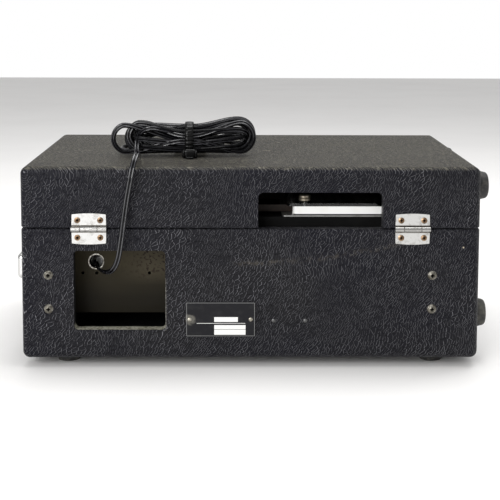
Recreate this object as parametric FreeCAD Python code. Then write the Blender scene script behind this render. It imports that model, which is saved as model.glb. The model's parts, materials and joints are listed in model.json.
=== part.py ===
import FreeCAD, Part
import math
import os

Vec = FreeCAD.Vector

# A tape echo unit in a covered wooden case, standing on its feet.
# Directions: +Z up, the control panel faces -Y, the hinges and the cord are at +Y.
# Every piece is built about the middle of the case, with the floor at z = 0,
# and is moved at the end so that the middle of the whole unit's footprint is the origin.

# ---------------------------------------------------------------- driving dimensions
# case
CASE_WIDTH = 413.0
CASE_DEPTH = 270.0
BASE_HEIGHT = 119.2
LID_HEIGHT = 55.0
SEAM_GAP = 0.8
BOARD = 12.0
LID_TOP_BOARD = 9.0
EDGE_RADIUS = 6.5
RIM_RADIUS = 1.6
FOOT_HEIGHT = 8.0
FIT = 0.05
SEAT = 0.3

# cord recess in the rear board
RECESS_X = 118.1
RECESS_WIDTH = 82.4
RECESS_Z = 63.2
RECESS_HEIGHT = 72.6
RECESS_CORNER = 4.0

# slot in the lid's rear wall, open at the lid's rim
SLOT_X = -62.4
SLOT_WIDTH = 112.0
SLOT_DROP = 22.6
SLOT_CORNER = 5.0

# butt hinges
HINGE_X = 145.0
HINGE_WIDTH = 31.6
HINGE_TIP_WIDTH = 30.4
HINGE_LEAF = 13.1
HINGE_CROWN = 1.0
HINGE_SHEET = 1.4
KNUCKLE_RADIUS = 2.6
KNUCKLE_MIDDLE = 15.5
KNUCKLE_GAP = 0.35
KNUCKLE_CLEARANCE = 0.25
HINGE_PIN_RADIUS = 1.2
HINGE_SCREW_X = 10.25
HINGE_SCREW_Z = 7.9
WOOD_SCREW_RADIUS = 1.5
WOOD_SCREW_LENGTH = 9.0
WOOD_SCREW_HEAD_RADIUS = 2.75
WOOD_SCREW_HEAD = 1.3
CROSS_REACH = 0.58
CROSS_HALF_WIDTH = 0.13
CROSS_FLOOR = 0.35

# chassis: a bent tray that hangs behind the rear board on four screws
CHASSIS_SHEET = 1.5
CHASSIS_SIDE_GAP = 4.0
CHASSIS_REAR_INSET = 35.0
CHASSIS_FLOOR_Z = 34.0
CHASSIS_FRONT_INSET = 14.0
CHASSIS_SCREW_XS = (182.0, -163.6)
CHASSIS_SCREW_ZS = (46.3, 77.2)
CHASSIS_SCREW_RADIUS = 2.0
CHASSIS_SCREW_HEAD_RADIUS = 3.0
CHASSIS_SCREW_HEAD = 1.7
CUP_WASHER_RADIUS = 4.3
CUP_WASHER_HEIGHT = 1.3
BRACKET_WIDTH = 14.0
BRACKET_MARGIN = 9.0
BATTEN_WIDTH = 18.0
BATTEN_X = 172.0
GROMMET_X = 142.8
GROMMET_Z = 82.3
GROMMET_HOLE_RADIUS = 6.7
GROMMET_RIM_RADIUS = 7.4
GROMMET_RIM = 0.8
GROMMET_WALL = 0.5
GROMMET_NECK = 1.0
REAR_HOLE_XS = (155.3, 142.5, 93.6)
REAR_HOLE_Z = 71.3
REAR_HOLE_RADIUS = 1.5

# front panel
PANEL_RECESS = 18.0
PANEL_SHEET = 2.0
PANEL_EDGE_GAP = 0.5
PANEL_TOP_GAP = 1.5

# deck
DECK_RISE = 7.0
DECK_SHEET = 1.5
DECK_REAR_INSET = 25.0
DECK_SKIRT = 25.0
DECK_FRONT_SKIRT = 12.0
DECK_SIDE_GAP = 1.5
DECK_FRONT_GAP = 3.0

# tape tank
TANK_PLATE_SHEET = 1.2
TANK_PLATE_RIGHT = -29.0
TANK_SIDE_MARGIN = 4.0
TANK_FRONT_INSET = 42.0
TANK_WALL = 2.0
TANK_WALL_HEIGHT = 8.2
TANK_WALL_RIGHT = -38.8
TANK_WALL_INSET = 1.5
COVER_SHEET = 2.8
COVER_RIGHT = -33.6
THUMB_SCREW_RADIUS = 5.3
THUMB_SCREW_HEAD = 5.4
THUMB_SCREW_STEM_RADIUS = 2.0
THUMB_SCREW_LIFT = 1.8
THUMB_SCREW_TIP = 2.2
THUMB_SCREW_X = -49.5
THUMB_SCREW_INSET = 31.0

# tape path
TAPE_WIDTH = 6.35
TAPE_THICKNESS = 0.3
TAPE_LIFT = 0.6
RETURN_LINE_INSET = 18.0
LINE_SPACING = 72.0
HEAD_XS = (122.0, 98.0, 74.0, 50.0, 26.0)
HEAD_WIDTH = 14.0
HEAD_DEPTH = 12.0
HEAD_HEIGHT = 9.0
HEAD_NOSE_RADIUS = 9.0
HEAD_PLATE_SHEET = 1.5
GUIDE_RADIUS = 3.0
GUIDE_FLANGE_RADIUS = 4.6
GUIDE_FLANGE = 1.0
TURN_X = 146.0
LOOP_FOLDS = 6
LOOP_FOLD_RADIUS = 4.5
LOOP_START = 24.0
LOOP_LOW = 22.0
LOOP_HIGH = 14.0
GATE_HALF = 5.0

# capstan drive
CAPSTAN_X = 0.0
CAPSTAN_RADIUS = 2.5
CAPSTAN_TOP = 16.0
FLYWHEEL_RADIUS = 38.0
FLYWHEEL_RIM = 9.0
FLYWHEEL_WEB = 3.0
FLYWHEEL_RIM_WIDTH = 8.0
FLYWHEEL_HUB_RADIUS = 9.0
FLYWHEEL_DROP = 28.0
BEARING_RADIUS = 6.0
BEARING_DEPTH = 12.0
BRIDGE_SHEET = 2.0
BRIDGE_MARGIN = 12.0
BRIDGE_WIDTH = 12.0
BRIDGE_GAP = 5.0
MOTOR_X = 88.0
MOTOR_BEHIND_PANEL = 67.0
MOTOR_RADIUS = 27.0
MOTOR_HEIGHT = 44.0
MOTOR_SHAFT_RADIUS = 2.0
MOTOR_POST_RADIUS = 3.0
MOTOR_POST_ANGLES = (-100.0, 100.0, 180.0)
MOTOR_BOSS = 3.0
MOTOR_BORE = 12.0
MOTOR_ROUND = 2.0
PULLEY_RADIUS = 7.6
PULLEY_HEIGHT = 8.0
PULLEY_GAP = 4.0
PULLEY_FLANGE = 2.0
BELT_WIDTH = 4.0
BELT_THICKNESS = 1.0
PINCH_ROLLER_RADIUS = 8.0
PINCH_ROLLER_HEIGHT = 10.0
PINCH_GAP = 0.3
PINCH_PIN_RADIUS = 1.6
PINCH_ARM_LENGTH = 30.0
PINCH_ARM_SHEET = 2.5
PINCH_ARM_WIDTH = 9.0
PINCH_ROLLER_EASE = 0.6
PIN_PROUD = 2.0
TENSION_ARM_X = 60.0
TENSION_ARM_INSET = 26.0
TENSION_REACH = 26.0
TENSION_ARM_SHEET = 1.0
TENSION_ARM_WIDTH = 5.0
TENSION_HUB_RADIUS = 4.0
TENSION_HUB_HEIGHT = 4.0

# electrical pieces inside the chassis
TRANSFORMER_X = 130.0
TRANSFORMER_INSET = 52.0
TRANSFORMER_WIDTH = 66.0
TRANSFORMER_DEPTH = 46.0
TRANSFORMER_HEIGHT = 54.0
BOARD_SHEET = 1.6
MAIN_BOARD_X = -105.0
MAIN_BOARD_BEHIND_PANEL = 40.0
MAIN_BOARD_INSET = 25.0
MAIN_BOARD_WIDTH = 150.0
STANDOFF_HEIGHT = 8.0
STANDOFF_RADIUS = 3.0
STANDOFF_INSET = 6.0
PART_COLUMNS = 4
PART_PITCH = 34.0
PART_START = 20.0
BIG_CAPACITOR = (6.5, 20.0)
SMALL_CAPACITOR = (4.0, 11.0)
TRIMMER = (10.0, 6.0, 9.0)
HEAT_SINK_INSET = 14.0
HEAT_SINK_SHEET = 4.0
HEAT_SINK_HEIGHT = 24.0
BIG_ROW = 0.147
HEAT_SINK_ROW = 0.32
SMALL_ROW = 0.6
TRIMMER_ROW = 0.847
REVERB_X = 42.0
REVERB_INSET = 24.0
REVERB_LENGTH = 108.0
REVERB_DEPTH = 34.0
REVERB_HEIGHT = 24.0
REVERB_LUG = 9.0
REVERB_LUG_WIDTH = 14.0
REVERB_LUG_SHEET = 1.5

# controls on the panel; x to the right as seen from the front, z above the case's underside
SHAFT_RADIUS = 3.0
BUSH_RADIUS = 4.6
NUT_ACROSS = 12.0
NUT_HEIGHT = 2.2
POT_RADIUS = 8.5
POT_DEPTH = 10.0
KNOB_RADIUS = 9.2
KNOB_SKIRT_RADIUS = 12.5
KNOB_SKIRT = 2.6
KNOB_HEIGHT = 15.0
KNOB_FLUTES = 10
KNOB_FLUTE_RADIUS = 2.2
KNOB_STANDOFF = 3.0
KNOB_TURN_ANGLE = 300.0
MODE_KNOB_RADIUS = 14.0
MODE_SKIRT_RADIUS = 22.0
MODE_KNOB_HEIGHT = 17.0
MODE_POSITIONS = 12
MODE_STEP_ANGLE = 30.0
SMALL_KNOBS = {
    "knob_input": (-150.0, 90.0),
    "knob_bass": (62.0, 90.0),
    "knob_treble": (100.0, 90.0),
    "knob_reverb": (138.0, 90.0),
    "knob_repeat_rate": (62.0, 47.0),
    "knob_intensity": (100.0, 47.0),
    "knob_echo": (138.0, 47.0),
}
MODE_KNOB_AT = (0.0, 72.0)
SWITCH_HEAD = 30.0
SWITCH_HEAD_DEPTH = 6.0
WAFER_RADIUS = 17.0
WAFER_SHEET = 1.6
WAFER_DEPTHS = (14.0, 24.0)
SPACER_RADIUS = 1.8
SPACER_REACH = 12.5
BUSH_PROUD = 0.4
JACKS = {
    "microphone": (-168.0, 46.0),
    "instrument": (-132.0, 46.0),
    "pedal": (-94.0, 46.0),
    "output": (-58.0, 46.0),
}
JACK_BORE_RADIUS = 3.25
JACK_BUSH_RADIUS = 5.5
JACK_NUT_RADIUS = 7.5
JACK_BODY = 16.0
JACK_BODY_DEPTH = 22.0
METER_AT = (-76.0, 86.0)
METER_WIDTH = 58.0
METER_HEIGHT = 40.0
METER_BEZEL = 4.0
METER_DEPTH = 18.0
METER_FLOOR = 10.0
METER_LIP = 2.0
METER_WALL = 1.5
METER_GLASS_SET_BACK = 0.4
METER_GLASS = 1.5
METER_PIVOT_DROP = 13.0
NEEDLE_LENGTH = 25.0
NEEDLE_WIDTH = 0.9
NEEDLE_SHEET = 0.5
NEEDLE_HUB_RADIUS = 3.2
NEEDLE_PIN_RADIUS = 1.0
NEEDLE_SWING_ANGLE = 90.0
LAMPS = {"peak": (-36.0, 96.0), "power": (174.0, 62.0)}
LAMP_RADIUS = 3.0
TOGGLE_AT = (174.0, 90.0)
TOGGLE_BUSH_RADIUS = 5.8
TOGGLE_BORE_RADIUS = 4.6
TOGGLE_LENGTH = 17.0
TOGGLE_NECK = 6.0
TOGGLE_NECK_RADIUS = 1.4
TOGGLE_TIP_RADIUS = 2.4
TOGGLE_PIN_RADIUS = 0.9
TOGGLE_PIN_GAP = 0.15
TOGGLE_BODY = (15.0, 24.0, 16.0)
TOGGLE_NUT = 1.8
TOGGLE_BUSH_PROUD = 1.5
TOGGLE_THROW_ANGLE = 24.0
SLIDER_AT = (174.0, 38.0)
SLIDER_TRAVEL = 8.0
SLIDER_WIDTH = 5.0
SLIDER_HEIGHT = 5.0
SLIDER_THICKNESS = 3.8
SLIDER_BASE = 10.0
SLIDER_BASE_HEIGHT = 6.0
SLIDER_BASE_DEPTH = 4.0
CHANNEL_WALL = 3.0

# data plate and rivets on the rear board
PLATE_X = 27.2
PLATE_Z = 36.7
PLATE_WIDTH = 62.7
PLATE_HEIGHT = 31.8
PLATE_SHEET = 0.8
PLATE_CORNER = 2.3
PLATE_RIVET_XS = (55.1, 0.0)
WALL_RIVET_XS = (-20.7, -49.5)
WALL_RIVET_Z = 35.4
RIVET_RADIUS = 1.8
RIVET_HEIGHT = 0.8
RIVET_SHANK = 4.0

# feet
BOTTOM_FOOT_SIDE_INSET = 38.5
BOTTOM_FOOT_END_INSET = 30.0
BOTTOM_FOOT_RADIUS = 12.0
BOTTOM_FOOT_TIP_RADIUS = 10.0
SIDE_FOOT_HEIGHT = 11.5
SIDE_FOOT_RADIUS = 14.1
SIDE_FOOT_TIP_RADIUS = 11.6
SIDE_FOOT_ROUND = 3.5
SIDE_FOOT_REAR_INSET = 33.0
SIDE_FOOT_FRONT_INSET = 53.0
SIDE_FOOT_DROP = 20.5
SIDE_FOOT_RISE = 35.0
FOOT_SCREW_WELL_RADIUS = 4.5
FOOT_SCREW_WELL = 8.0

# strap handle
HANDLE_Z = 75.0
HANDLE_HALF_LENGTH = 90.0
HANDLE_HEIGHT = 11.5
CAP_LENGTH = 28.0
CAP_WIDTH = 24.0
CAP_WALL = 1.8
CAP_CORNER = 5.0
CAP_ROUND = 4.0
STRAP_WIDTH = 19.0
STRAP_THICKNESS = 4.5
STRAP_END_LIFT = 1.5
STRAP_MIDDLE_LIFT = 6.5
STRAP_END_GAP = 3.0
STRAP_ROUND = 1.4

# mains cord
CORD_DIAMETER = 5.0
CORD_ARC_SHARE = 0.45
HANK_MIDDLE_X = 58.0
HANK_INSET = 83.0
TIE_WIDTH = 9.5
TIE_THICKNESS = 1.6
# The cord's route: x, how far behind the rear board's face, and the height above the case's underside
# as far as the seam, then above the lid.
RISER_ROUTE = [
    (142.8, -33.8, 82.3),
    (140.5, -22.0, 79.2),
    (133.5, -10.5, 77.2),
    (124.5, -0.5, 80.6),
    (118.8, 7.0, 91.5),
    (116.0, 9.6, 107.0),
]
LID_ROUTE = [
    (113.6, 8.4, -49.0),
    (110.8, 7.6, -29.0),
    (107.6, 9.6, -12.0),
    (104.8, 8.0, 3.0),
    (102.6, -3.0, 11.6),
    (102.0, -19.0, 9.6),
    (103.4, -36.0, 4.6),
    (106.0, -53.0, 5.2),
    (107.6, -67.0, 11.4),
    (107.0, -80.0, 20.0),
]

# The hank's outline: x from its middle, half depth, and its underside and top above the lid.
HANK_SECTIONS = [
    (-64.5, 3.0, 15.0, 27.0),
    (-61.0, 10.0, 8.0, 33.5),
    (-52.0, 16.5, 1.5, 37.5),
    (-34.0, 18.0, 0.6, 37.0),
    (-14.0, 15.5, 1.6, 33.0),
    (-5.0, 14.0, 2.4, 31.0),
    (5.0, 14.0, 2.4, 31.0),
    (16.0, 15.5, 1.6, 33.5),
    (36.0, 18.0, 0.6, 35.5),
    (56.0, 17.5, 0.8, 31.0),
    (70.0, 11.5, 2.0, 27.0),
    (75.0, 3.0, 8.0, 21.0),
]
BUCKLE_DEPTH = 16.0
BUCKLE_WIDTH = 15.0
BUCKLE_HEIGHT = 7.5
PLUG_WIDTH = 24.0
PLUG_LENGTH = 32.0
PLUG_HEIGHT = 16.0
PLUG_TAIL = 16.0
PRONG_LENGTH = 17.0
PRONG_SPACING = 12.7
PRONG_WIDTH = 6.3
PRONG_SHEET = 1.5
PLUG_GAP = 1.0

# ---------------------------------------------------------------- places worked out
HALF_WIDTH = CASE_WIDTH / 2
REAR = CASE_DEPTH / 2
FRONT = -REAR
CASE_Z = FOOT_HEIGHT
BASE_TOP = CASE_Z + BASE_HEIGHT
LID_Z = BASE_TOP + SEAM_GAP
CASE_TOP = LID_Z + LID_HEIGHT
REAR_INNER = REAR - BOARD
SIDE_INNER = HALF_WIDTH - BOARD
FLOOR_TOP = CASE_Z + BOARD
HINGE_Y = REAR + KNUCKLE_RADIUS + SEAT
HINGE_Z = BASE_TOP + SEAM_GAP / 2
DECK_TOP = BASE_TOP + DECK_RISE
DECK_UNDER = DECK_TOP - DECK_SHEET
DECK_HALF_WIDTH = SIDE_INNER - DECK_SIDE_GAP
DECK_REAR = REAR - DECK_REAR_INSET
PANEL_FACE = FRONT + PANEL_RECESS
PANEL_BACK = PANEL_FACE + PANEL_SHEET
PANEL_TOP = BASE_TOP - PANEL_TOP_GAP
DECK_FRONT = PANEL_BACK + DECK_FRONT_GAP
TANK_FRONT_Y = DECK_FRONT + TANK_FRONT_INSET
RETURN_LINE_Y = DECK_REAR - RETURN_LINE_INSET
HEAD_LINE_Y = RETURN_LINE_Y - LINE_SPACING
MOTOR_Y = PANEL_BACK + MOTOR_BEHIND_PANEL
TENSION_ARM_Y = RETURN_LINE_Y - TENSION_ARM_INSET
CHASSIS_FLOOR = CASE_Z + CHASSIS_FLOOR_Z
CHASSIS_FLOOR_TOP = CHASSIS_FLOOR + CHASSIS_SHEET
CHASSIS_REAR = REAR - CHASSIS_REAR_INSET
TRANSFORMER_Y = CHASSIS_REAR - TRANSFORMER_INSET
REVERB_Y = CHASSIS_REAR - REVERB_INSET
MAIN_BOARD_FRONT = PANEL_BACK + MAIN_BOARD_BEHIND_PANEL
MAIN_BOARD_REAR = CHASSIS_REAR - MAIN_BOARD_INSET
CHASSIS_HALF_WIDTH = DECK_HALF_WIDTH - DECK_SHEET - CHASSIS_SIDE_GAP / 2
TANK_PLATE_TOP = DECK_TOP + TANK_PLATE_SHEET
TANK_LEFT = -DECK_HALF_WIDTH + TANK_SIDE_MARGIN
TANK_TOP = TANK_PLATE_TOP + TANK_WALL_HEIGHT
COVER_TOP = TANK_TOP + COVER_SHEET
TAPE_Z = TANK_PLATE_TOP + TAPE_LIFT
FLYWHEEL_TOP = DECK_UNDER - FLYWHEEL_DROP
FLYWHEEL_Z = FLYWHEEL_TOP - FLYWHEEL_RIM
CHASSIS_FLOOR_FRONT = DECK_FRONT + CHASSIS_FRONT_INSET
HEAD_PLATE_TOP = DECK_TOP + HEAD_PLATE_SHEET
GUIDE_OFFSET = GUIDE_RADIUS + TAPE_THICKNESS / 2 + FIT
CAPSTAN_Y = HEAD_LINE_Y + TAPE_THICKNESS / 2 + SEAT + CAPSTAN_RADIUS
PINCH_ROLLER_Y = HEAD_LINE_Y - TAPE_THICKNESS / 2 - PINCH_GAP - PINCH_ROLLER_RADIUS
PINCH_PIVOT_X = CAPSTAN_X + PINCH_ARM_LENGTH * 0.8
PINCH_PIVOT_Y = PINCH_ROLLER_Y - PINCH_ARM_LENGTH * 0.6
ROLLER_Z = DECK_TOP + PINCH_ARM_SHEET + 2 * SEAT
PULLEY_Z = (FLYWHEEL_Z + FLYWHEEL_TOP - PULLEY_HEIGHT) / 2
METER_BODY_WIDTH = METER_WIDTH - 2 * METER_LIP
METER_BODY_HEIGHT = METER_HEIGHT - 2 * METER_LIP
METER_ROOM_WIDTH = METER_BODY_WIDTH - 2 * METER_WALL
METER_ROOM_HEIGHT = METER_BODY_HEIGHT - 2 * METER_WALL
SLIDER_SLOT = SLIDER_WIDTH + SLIDER_TRAVEL + 1
HANDLE_OUT = HALF_WIDTH + HANDLE_HEIGHT
SIDE_FOOT_OUT = HALF_WIDTH + SIDE_FOOT_HEIGHT
SIDE_FOOT_YS = (REAR - SIDE_FOOT_REAR_INSET, FRONT + SIDE_FOOT_FRONT_INSET)
BOTTOM_FOOT_X = HALF_WIDTH - BOTTOM_FOOT_SIDE_INSET
BOTTOM_FOOT_Y = REAR - BOTTOM_FOOT_END_INSET
HANK_MIDDLE_Y = REAR - HANK_INSET
CORD_ROUTE = [Vec(x, REAR + y, CASE_Z + z) for x, y, z in RISER_ROUTE]
CORD_ROUTE += [Vec(x, REAR + y, CASE_TOP + z) for x, y, z in LID_ROUTE]
HINGE_OUT = HINGE_Y + KNUCKLE_RADIUS
TIE_SECTION = HANK_SECTIONS[len(HANK_SECTIONS) // 2 - 1]
SHIFT = Vec((SIDE_FOOT_OUT - HANDLE_OUT) / 2, -(HINGE_OUT - REAR) / 2, 0)


# ---------------------------------------------------------------- shapes used many times
def block(x0, x1, y0, y1, z0, z1):
    """A box between two corners."""
    return Part.makeBox(x1 - x0, y1 - y0, z1 - z0, Vec(x0, y0, z0))


def rod(radius, start, end):
    """A cylinder from one point to another."""
    return Part.makeCylinder(radius, (end - start).Length, start, end - start)


def taper(radius_0, radius_1, start, end):
    """A truncated cone from one point to another."""
    return Part.makeCone(radius_0, radius_1, (end - start).Length, start, end - start)


def edges_where(shape, test):
    """The edges whose middle passes a test."""
    return [edge for edge in shape.Edges if test(edge.BoundBox)]


def is_vertical(box):
    return box.ZLength > 1 and box.XLength < 0.01 and box.YLength < 0.01


def soften(shape, radius, test):
    """The shape with a round on the chosen edges."""
    return shape.makeFillet(radius, edges_where(shape, test))


def slab(x0, x1, z0, z1, y0, y1, corner):
    """A plate in the XZ plane with round corners, from y0 to y1."""
    plate = block(x0, x1, y0, y1, z0, z1)
    return soften(plate, corner, lambda box: box.YLength > 0.9 * (y1 - y0) and box.ZLength < 0.01
                  and box.XLength < 0.01)


def tray(x0, x1, y0, y1, z0, z1, corner):
    """A block with round vertical corners."""
    return soften(block(x0, x1, y0, y1, z0, z1), corner, is_vertical)


def joined(shapes):
    """One solid out of several that touch."""
    solid = shapes[0]
    for shape in shapes[1:]:
        solid = solid.fuse(shape)
    return solid.removeSplitter()


def group(shapes):
    """Separate solids kept together as one node."""
    return Part.makeCompound(shapes)


def revolved(profile, axis_point, axis):
    """A solid turned from a closed outline of points."""
    outline = Part.makePolygon(profile + profile[:1])
    return Part.Face(outline).revolve(axis_point, axis, 360)


def turned(profile, base, direction):
    """A solid of revolution about the line through base, from (radius, height) pairs."""
    points = [Vec(radius, 0, height) for radius, height in profile]
    solid = revolved(points, Vec(0, 0, 0), Vec(0, 0, 1))
    solid.Placement = FreeCAD.Placement(base, FreeCAD.Rotation(Vec(0, 0, 1), direction))
    return solid


def domed_head(radius, height, seat, direction, crossed=False):
    """A low domed screw or rivet head standing on its seat; a screw's has a cross recess, turned anyhow."""
    rim = 0.35 * height
    crown = height - rim
    sphere_radius = (radius ** 2 + crown ** 2) / (2 * crown)
    ball = Part.makeSphere(sphere_radius)
    ball.translate(Vec(0, 0, height - sphere_radius))
    head = Part.makeCylinder(radius, height).common(ball)
    if crossed:
        reach, half, low = CROSS_REACH * radius, CROSS_HALF_WIDTH * radius, CROSS_FLOOR * height
        head = head.cut([block(-reach, reach, -half, half, low, height + 1),
                         block(-half, half, -reach, reach, low, height + 1)])
        head.rotate(Vec(0, 0, 0), Vec(0, 0, 1), (7 * seat.x + 13 * seat.z) % 90)
    stood = FreeCAD.Placement(seat, FreeCAD.Rotation(Vec(0, 0, 1), direction))
    head.Placement = stood.multiply(head.Placement)
    return head


# ---------------------------------------------------------------- wooden case
def case_box(z0, z1, round_z, rim_z):
    """A covered box with round outer corners, round at round_z and eased at rim_z."""
    box = block(-HALF_WIDTH, HALF_WIDTH, FRONT, REAR, z0, z1)
    box = soften(box, EDGE_RADIUS, lambda edge: is_vertical(edge)
                 or abs(edge.ZMin - round_z) < 0.01 and abs(edge.ZMax - round_z) < 0.01)
    return soften(box, RIM_RADIUS, lambda edge: abs(edge.ZMin - rim_z) < 0.01
                  and abs(edge.ZMax - rim_z) < 0.01)


def recess_cutter():
    """The round-cornered opening through which the cord comes out."""
    x0 = RECESS_X - RECESS_WIDTH / 2
    z0 = CASE_Z + RECESS_Z - RECESS_HEIGHT / 2
    return slab(x0, x0 + RECESS_WIDTH, z0, z0 + RECESS_HEIGHT, REAR_INNER - 1, REAR + 1,
                RECESS_CORNER)


def base_cabinet():
    """The lower box: floor, sides and rear board, open at the top and the front, with battens."""
    box = case_box(CASE_Z, BASE_TOP, CASE_Z, BASE_TOP)
    box = box.cut(block(-SIDE_INNER, SIDE_INNER, FRONT - 1, REAR_INNER, FLOOR_TOP, BASE_TOP + 1))
    for side in (-1, 1):
        x = side * BATTEN_X
        box = box.fuse(block(x - BATTEN_WIDTH / 2, x + BATTEN_WIDTH / 2,
                             CHASSIS_FLOOR_FRONT, REAR_INNER, FLOOR_TOP, CHASSIS_FLOOR))
    holes = [recess_cutter()]
    for x in hinge_screw_xs():
        holes.append(rod(WOOD_SCREW_RADIUS + FIT, Vec(x, REAR - WOOD_SCREW_LENGTH, HINGE_Z - HINGE_SCREW_Z),
                         Vec(x, REAR + 1, HINGE_Z - HINGE_SCREW_Z)))
    for x in CHASSIS_SCREW_XS:
        for z in CHASSIS_SCREW_ZS:
            holes.append(rod(CHASSIS_SCREW_RADIUS + FIT, Vec(x, REAR_INNER - 1, CASE_Z + z),
                             Vec(x, REAR + 1, CASE_Z + z)))
    for x, z in rivet_places():
        holes.append(rod(RIVET_RADIUS / 2 + FIT, Vec(x, REAR - RIVET_SHANK - FIT, z), Vec(x, REAR + 1, z)))
    for y, z in handle_screw_places():
        holes.append(rod(WOOD_SCREW_RADIUS + FIT, Vec(HALF_WIDTH - WOOD_SCREW_LENGTH, y, z),
                         Vec(HALF_WIDTH + 1, y, z)))
    return box.cut(holes)


def lid_shell():
    """The upper box, open below, with the slot in its rear wall."""
    box = case_box(LID_Z, CASE_TOP, CASE_TOP, LID_Z)
    box = box.cut(block(-SIDE_INNER, SIDE_INNER, FRONT + BOARD, REAR_INNER, LID_Z - 1,
                        CASE_TOP - LID_TOP_BOARD))
    slot = slab(SLOT_X - SLOT_WIDTH / 2, SLOT_X + SLOT_WIDTH / 2, LID_Z - 2 * SLOT_CORNER,
                CASE_TOP - SLOT_DROP, REAR_INNER - 1, REAR + 1, SLOT_CORNER)
    holes = [slot]
    for x in hinge_screw_xs():
        holes.append(rod(WOOD_SCREW_RADIUS + FIT, Vec(x, REAR - WOOD_SCREW_LENGTH, HINGE_Z + HINGE_SCREW_Z),
                         Vec(x, REAR + 1, HINGE_Z + HINGE_SCREW_Z)))
    return box.cut(holes)


def side_foot(y, z):
    """A rubber cone with a round tip edge and a well for its screw."""
    base = Vec(-HALF_WIDTH, y, z)
    tip = Vec(-SIDE_FOOT_OUT, y, z)
    cone = taper(SIDE_FOOT_RADIUS, SIDE_FOOT_TIP_RADIUS, base, tip)
    cone = soften(cone, SIDE_FOOT_ROUND, lambda box: abs(box.XMin + SIDE_FOOT_OUT) < 0.01
                  and box.XLength < 0.01)
    well = rod(FOOT_SCREW_WELL_RADIUS, Vec(-SIDE_FOOT_OUT + FOOT_SCREW_WELL, y, z), tip - Vec(1, 0, 0))
    return cone.cut(well)


def side_feet(z):
    return group([side_foot(y, z) for y in SIDE_FOOT_YS])


def bottom_feet():
    """Four rubber feet under the corners."""
    feet = []
    for x in (-BOTTOM_FOOT_X, BOTTOM_FOOT_X):
        for y in (-BOTTOM_FOOT_Y, BOTTOM_FOOT_Y):
            foot = taper(BOTTOM_FOOT_RADIUS, BOTTOM_FOOT_TIP_RADIUS, Vec(x, y, CASE_Z), Vec(x, y, 0))
            well = rod(FOOT_SCREW_WELL_RADIUS, Vec(x, y, FOOT_HEIGHT / 2), Vec(x, y, -1))
            feet.append(foot.cut(well))
    return group(feet)


# ---------------------------------------------------------------- hinges
def hinge_screw_xs():
    return [side * HINGE_X + step * HINGE_SCREW_X for side in (-1, 1) for step in (-1, 1)]


def hinge_leaf(x, up):
    """One leaf: a tapered plate with a crowned end, its share of the knuckles and two holes.

    up is 1 for the lid's leaf, which has the two outer knuckles, and -1 for the base's.
    """
    half = HINGE_WIDTH / 2
    tip_half = HINGE_TIP_WIDTH / 2
    root = Vec(x, REAR, HINGE_Z + up * KNUCKLE_GAP)
    shoulder = Vec(x, REAR, HINGE_Z + up * HINGE_LEAF)
    crown = shoulder + Vec(0, 0, up * HINGE_CROWN)
    left, right = Vec(-1, 0, 0), Vec(1, 0, 0)
    root_half = half - KNUCKLE_CLEARANCE
    sides = [Part.LineSegment(shoulder + left * tip_half, root + left * root_half).toShape(),
             Part.LineSegment(root + left * root_half, root + right * root_half).toShape(),
             Part.LineSegment(root + right * root_half, shoulder + right * tip_half).toShape(),
             Part.Arc(shoulder + right * tip_half, crown, shoulder + left * tip_half).toShape()]
    leaf = Part.Face(Part.Wire(sides)).extrude(Vec(0, HINGE_SHEET, 0))
    middle = KNUCKLE_MIDDLE / 2
    spans = ((-half, -middle), (middle, half)) if up > 0 else ((-middle, middle),)
    other_spans = ((-middle, middle),) if up > 0 else ((-half - 1, -middle), (middle, half + 1))
    gap = KNUCKLE_GAP / 2
    notch = KNUCKLE_RADIUS + KNUCKLE_CLEARANCE
    for x0, x1 in other_spans:
        leaf = leaf.cut(block(x + x0 - gap, x + x1 + gap, REAR - 1, REAR + HINGE_SHEET + 1, HINGE_Z - notch,
                              HINGE_Z + notch))
    for x0, x1 in spans:
        start = Vec(x + x0 + (gap if x0 > -half else 0), HINGE_Y, HINGE_Z)
        end = Vec(x + x1 - (gap if x1 < half else 0), HINGE_Y, HINGE_Z)
        leaf = leaf.fuse(rod(KNUCKLE_RADIUS, start, end))
    leaf = leaf.cut(rod(HINGE_PIN_RADIUS + FIT, Vec(x - half - 1, HINGE_Y, HINGE_Z),
                        Vec(x + half + 1, HINGE_Y, HINGE_Z)))
    for step in (-1, 1):
        z = HINGE_Z + up * HINGE_SCREW_Z
        screw_x = x + step * HINGE_SCREW_X
        leaf = leaf.cut(rod(WOOD_SCREW_RADIUS + FIT, Vec(screw_x, REAR - 1, z), Vec(screw_x, REAR + 3, z)))
    return leaf.removeSplitter()


def hinge_leaves(up):
    return group([hinge_leaf(side * HINGE_X, up) for side in (-1, 1)])


def hinge_pins():
    half = HINGE_WIDTH / 2
    return group([rod(HINGE_PIN_RADIUS, Vec(side * HINGE_X - half, HINGE_Y, HINGE_Z),
                      Vec(side * HINGE_X + half, HINGE_Y, HINGE_Z)) for side in (-1, 1)])


def wood_screw(seat, outward):
    """A round-head screw: the head stands on its seat, the shank goes the other way."""
    head = domed_head(WOOD_SCREW_HEAD_RADIUS, WOOD_SCREW_HEAD, seat, outward, crossed=True)
    return joined([head, rod(WOOD_SCREW_RADIUS, seat, seat - outward * WOOD_SCREW_LENGTH)])


def hinge_screws(up):
    z = HINGE_Z + up * HINGE_SCREW_Z
    return group([wood_screw(Vec(x, REAR + HINGE_SHEET, z), Vec(0, 1, 0)) for x in hinge_screw_xs()])


# ---------------------------------------------------------------- rear board hardware
def rivet_places():
    plate = [(x, CASE_Z + PLATE_Z) for x in PLATE_RIVET_XS]
    return plate + [(x, CASE_Z + WALL_RIVET_Z) for x in WALL_RIVET_XS]


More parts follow.
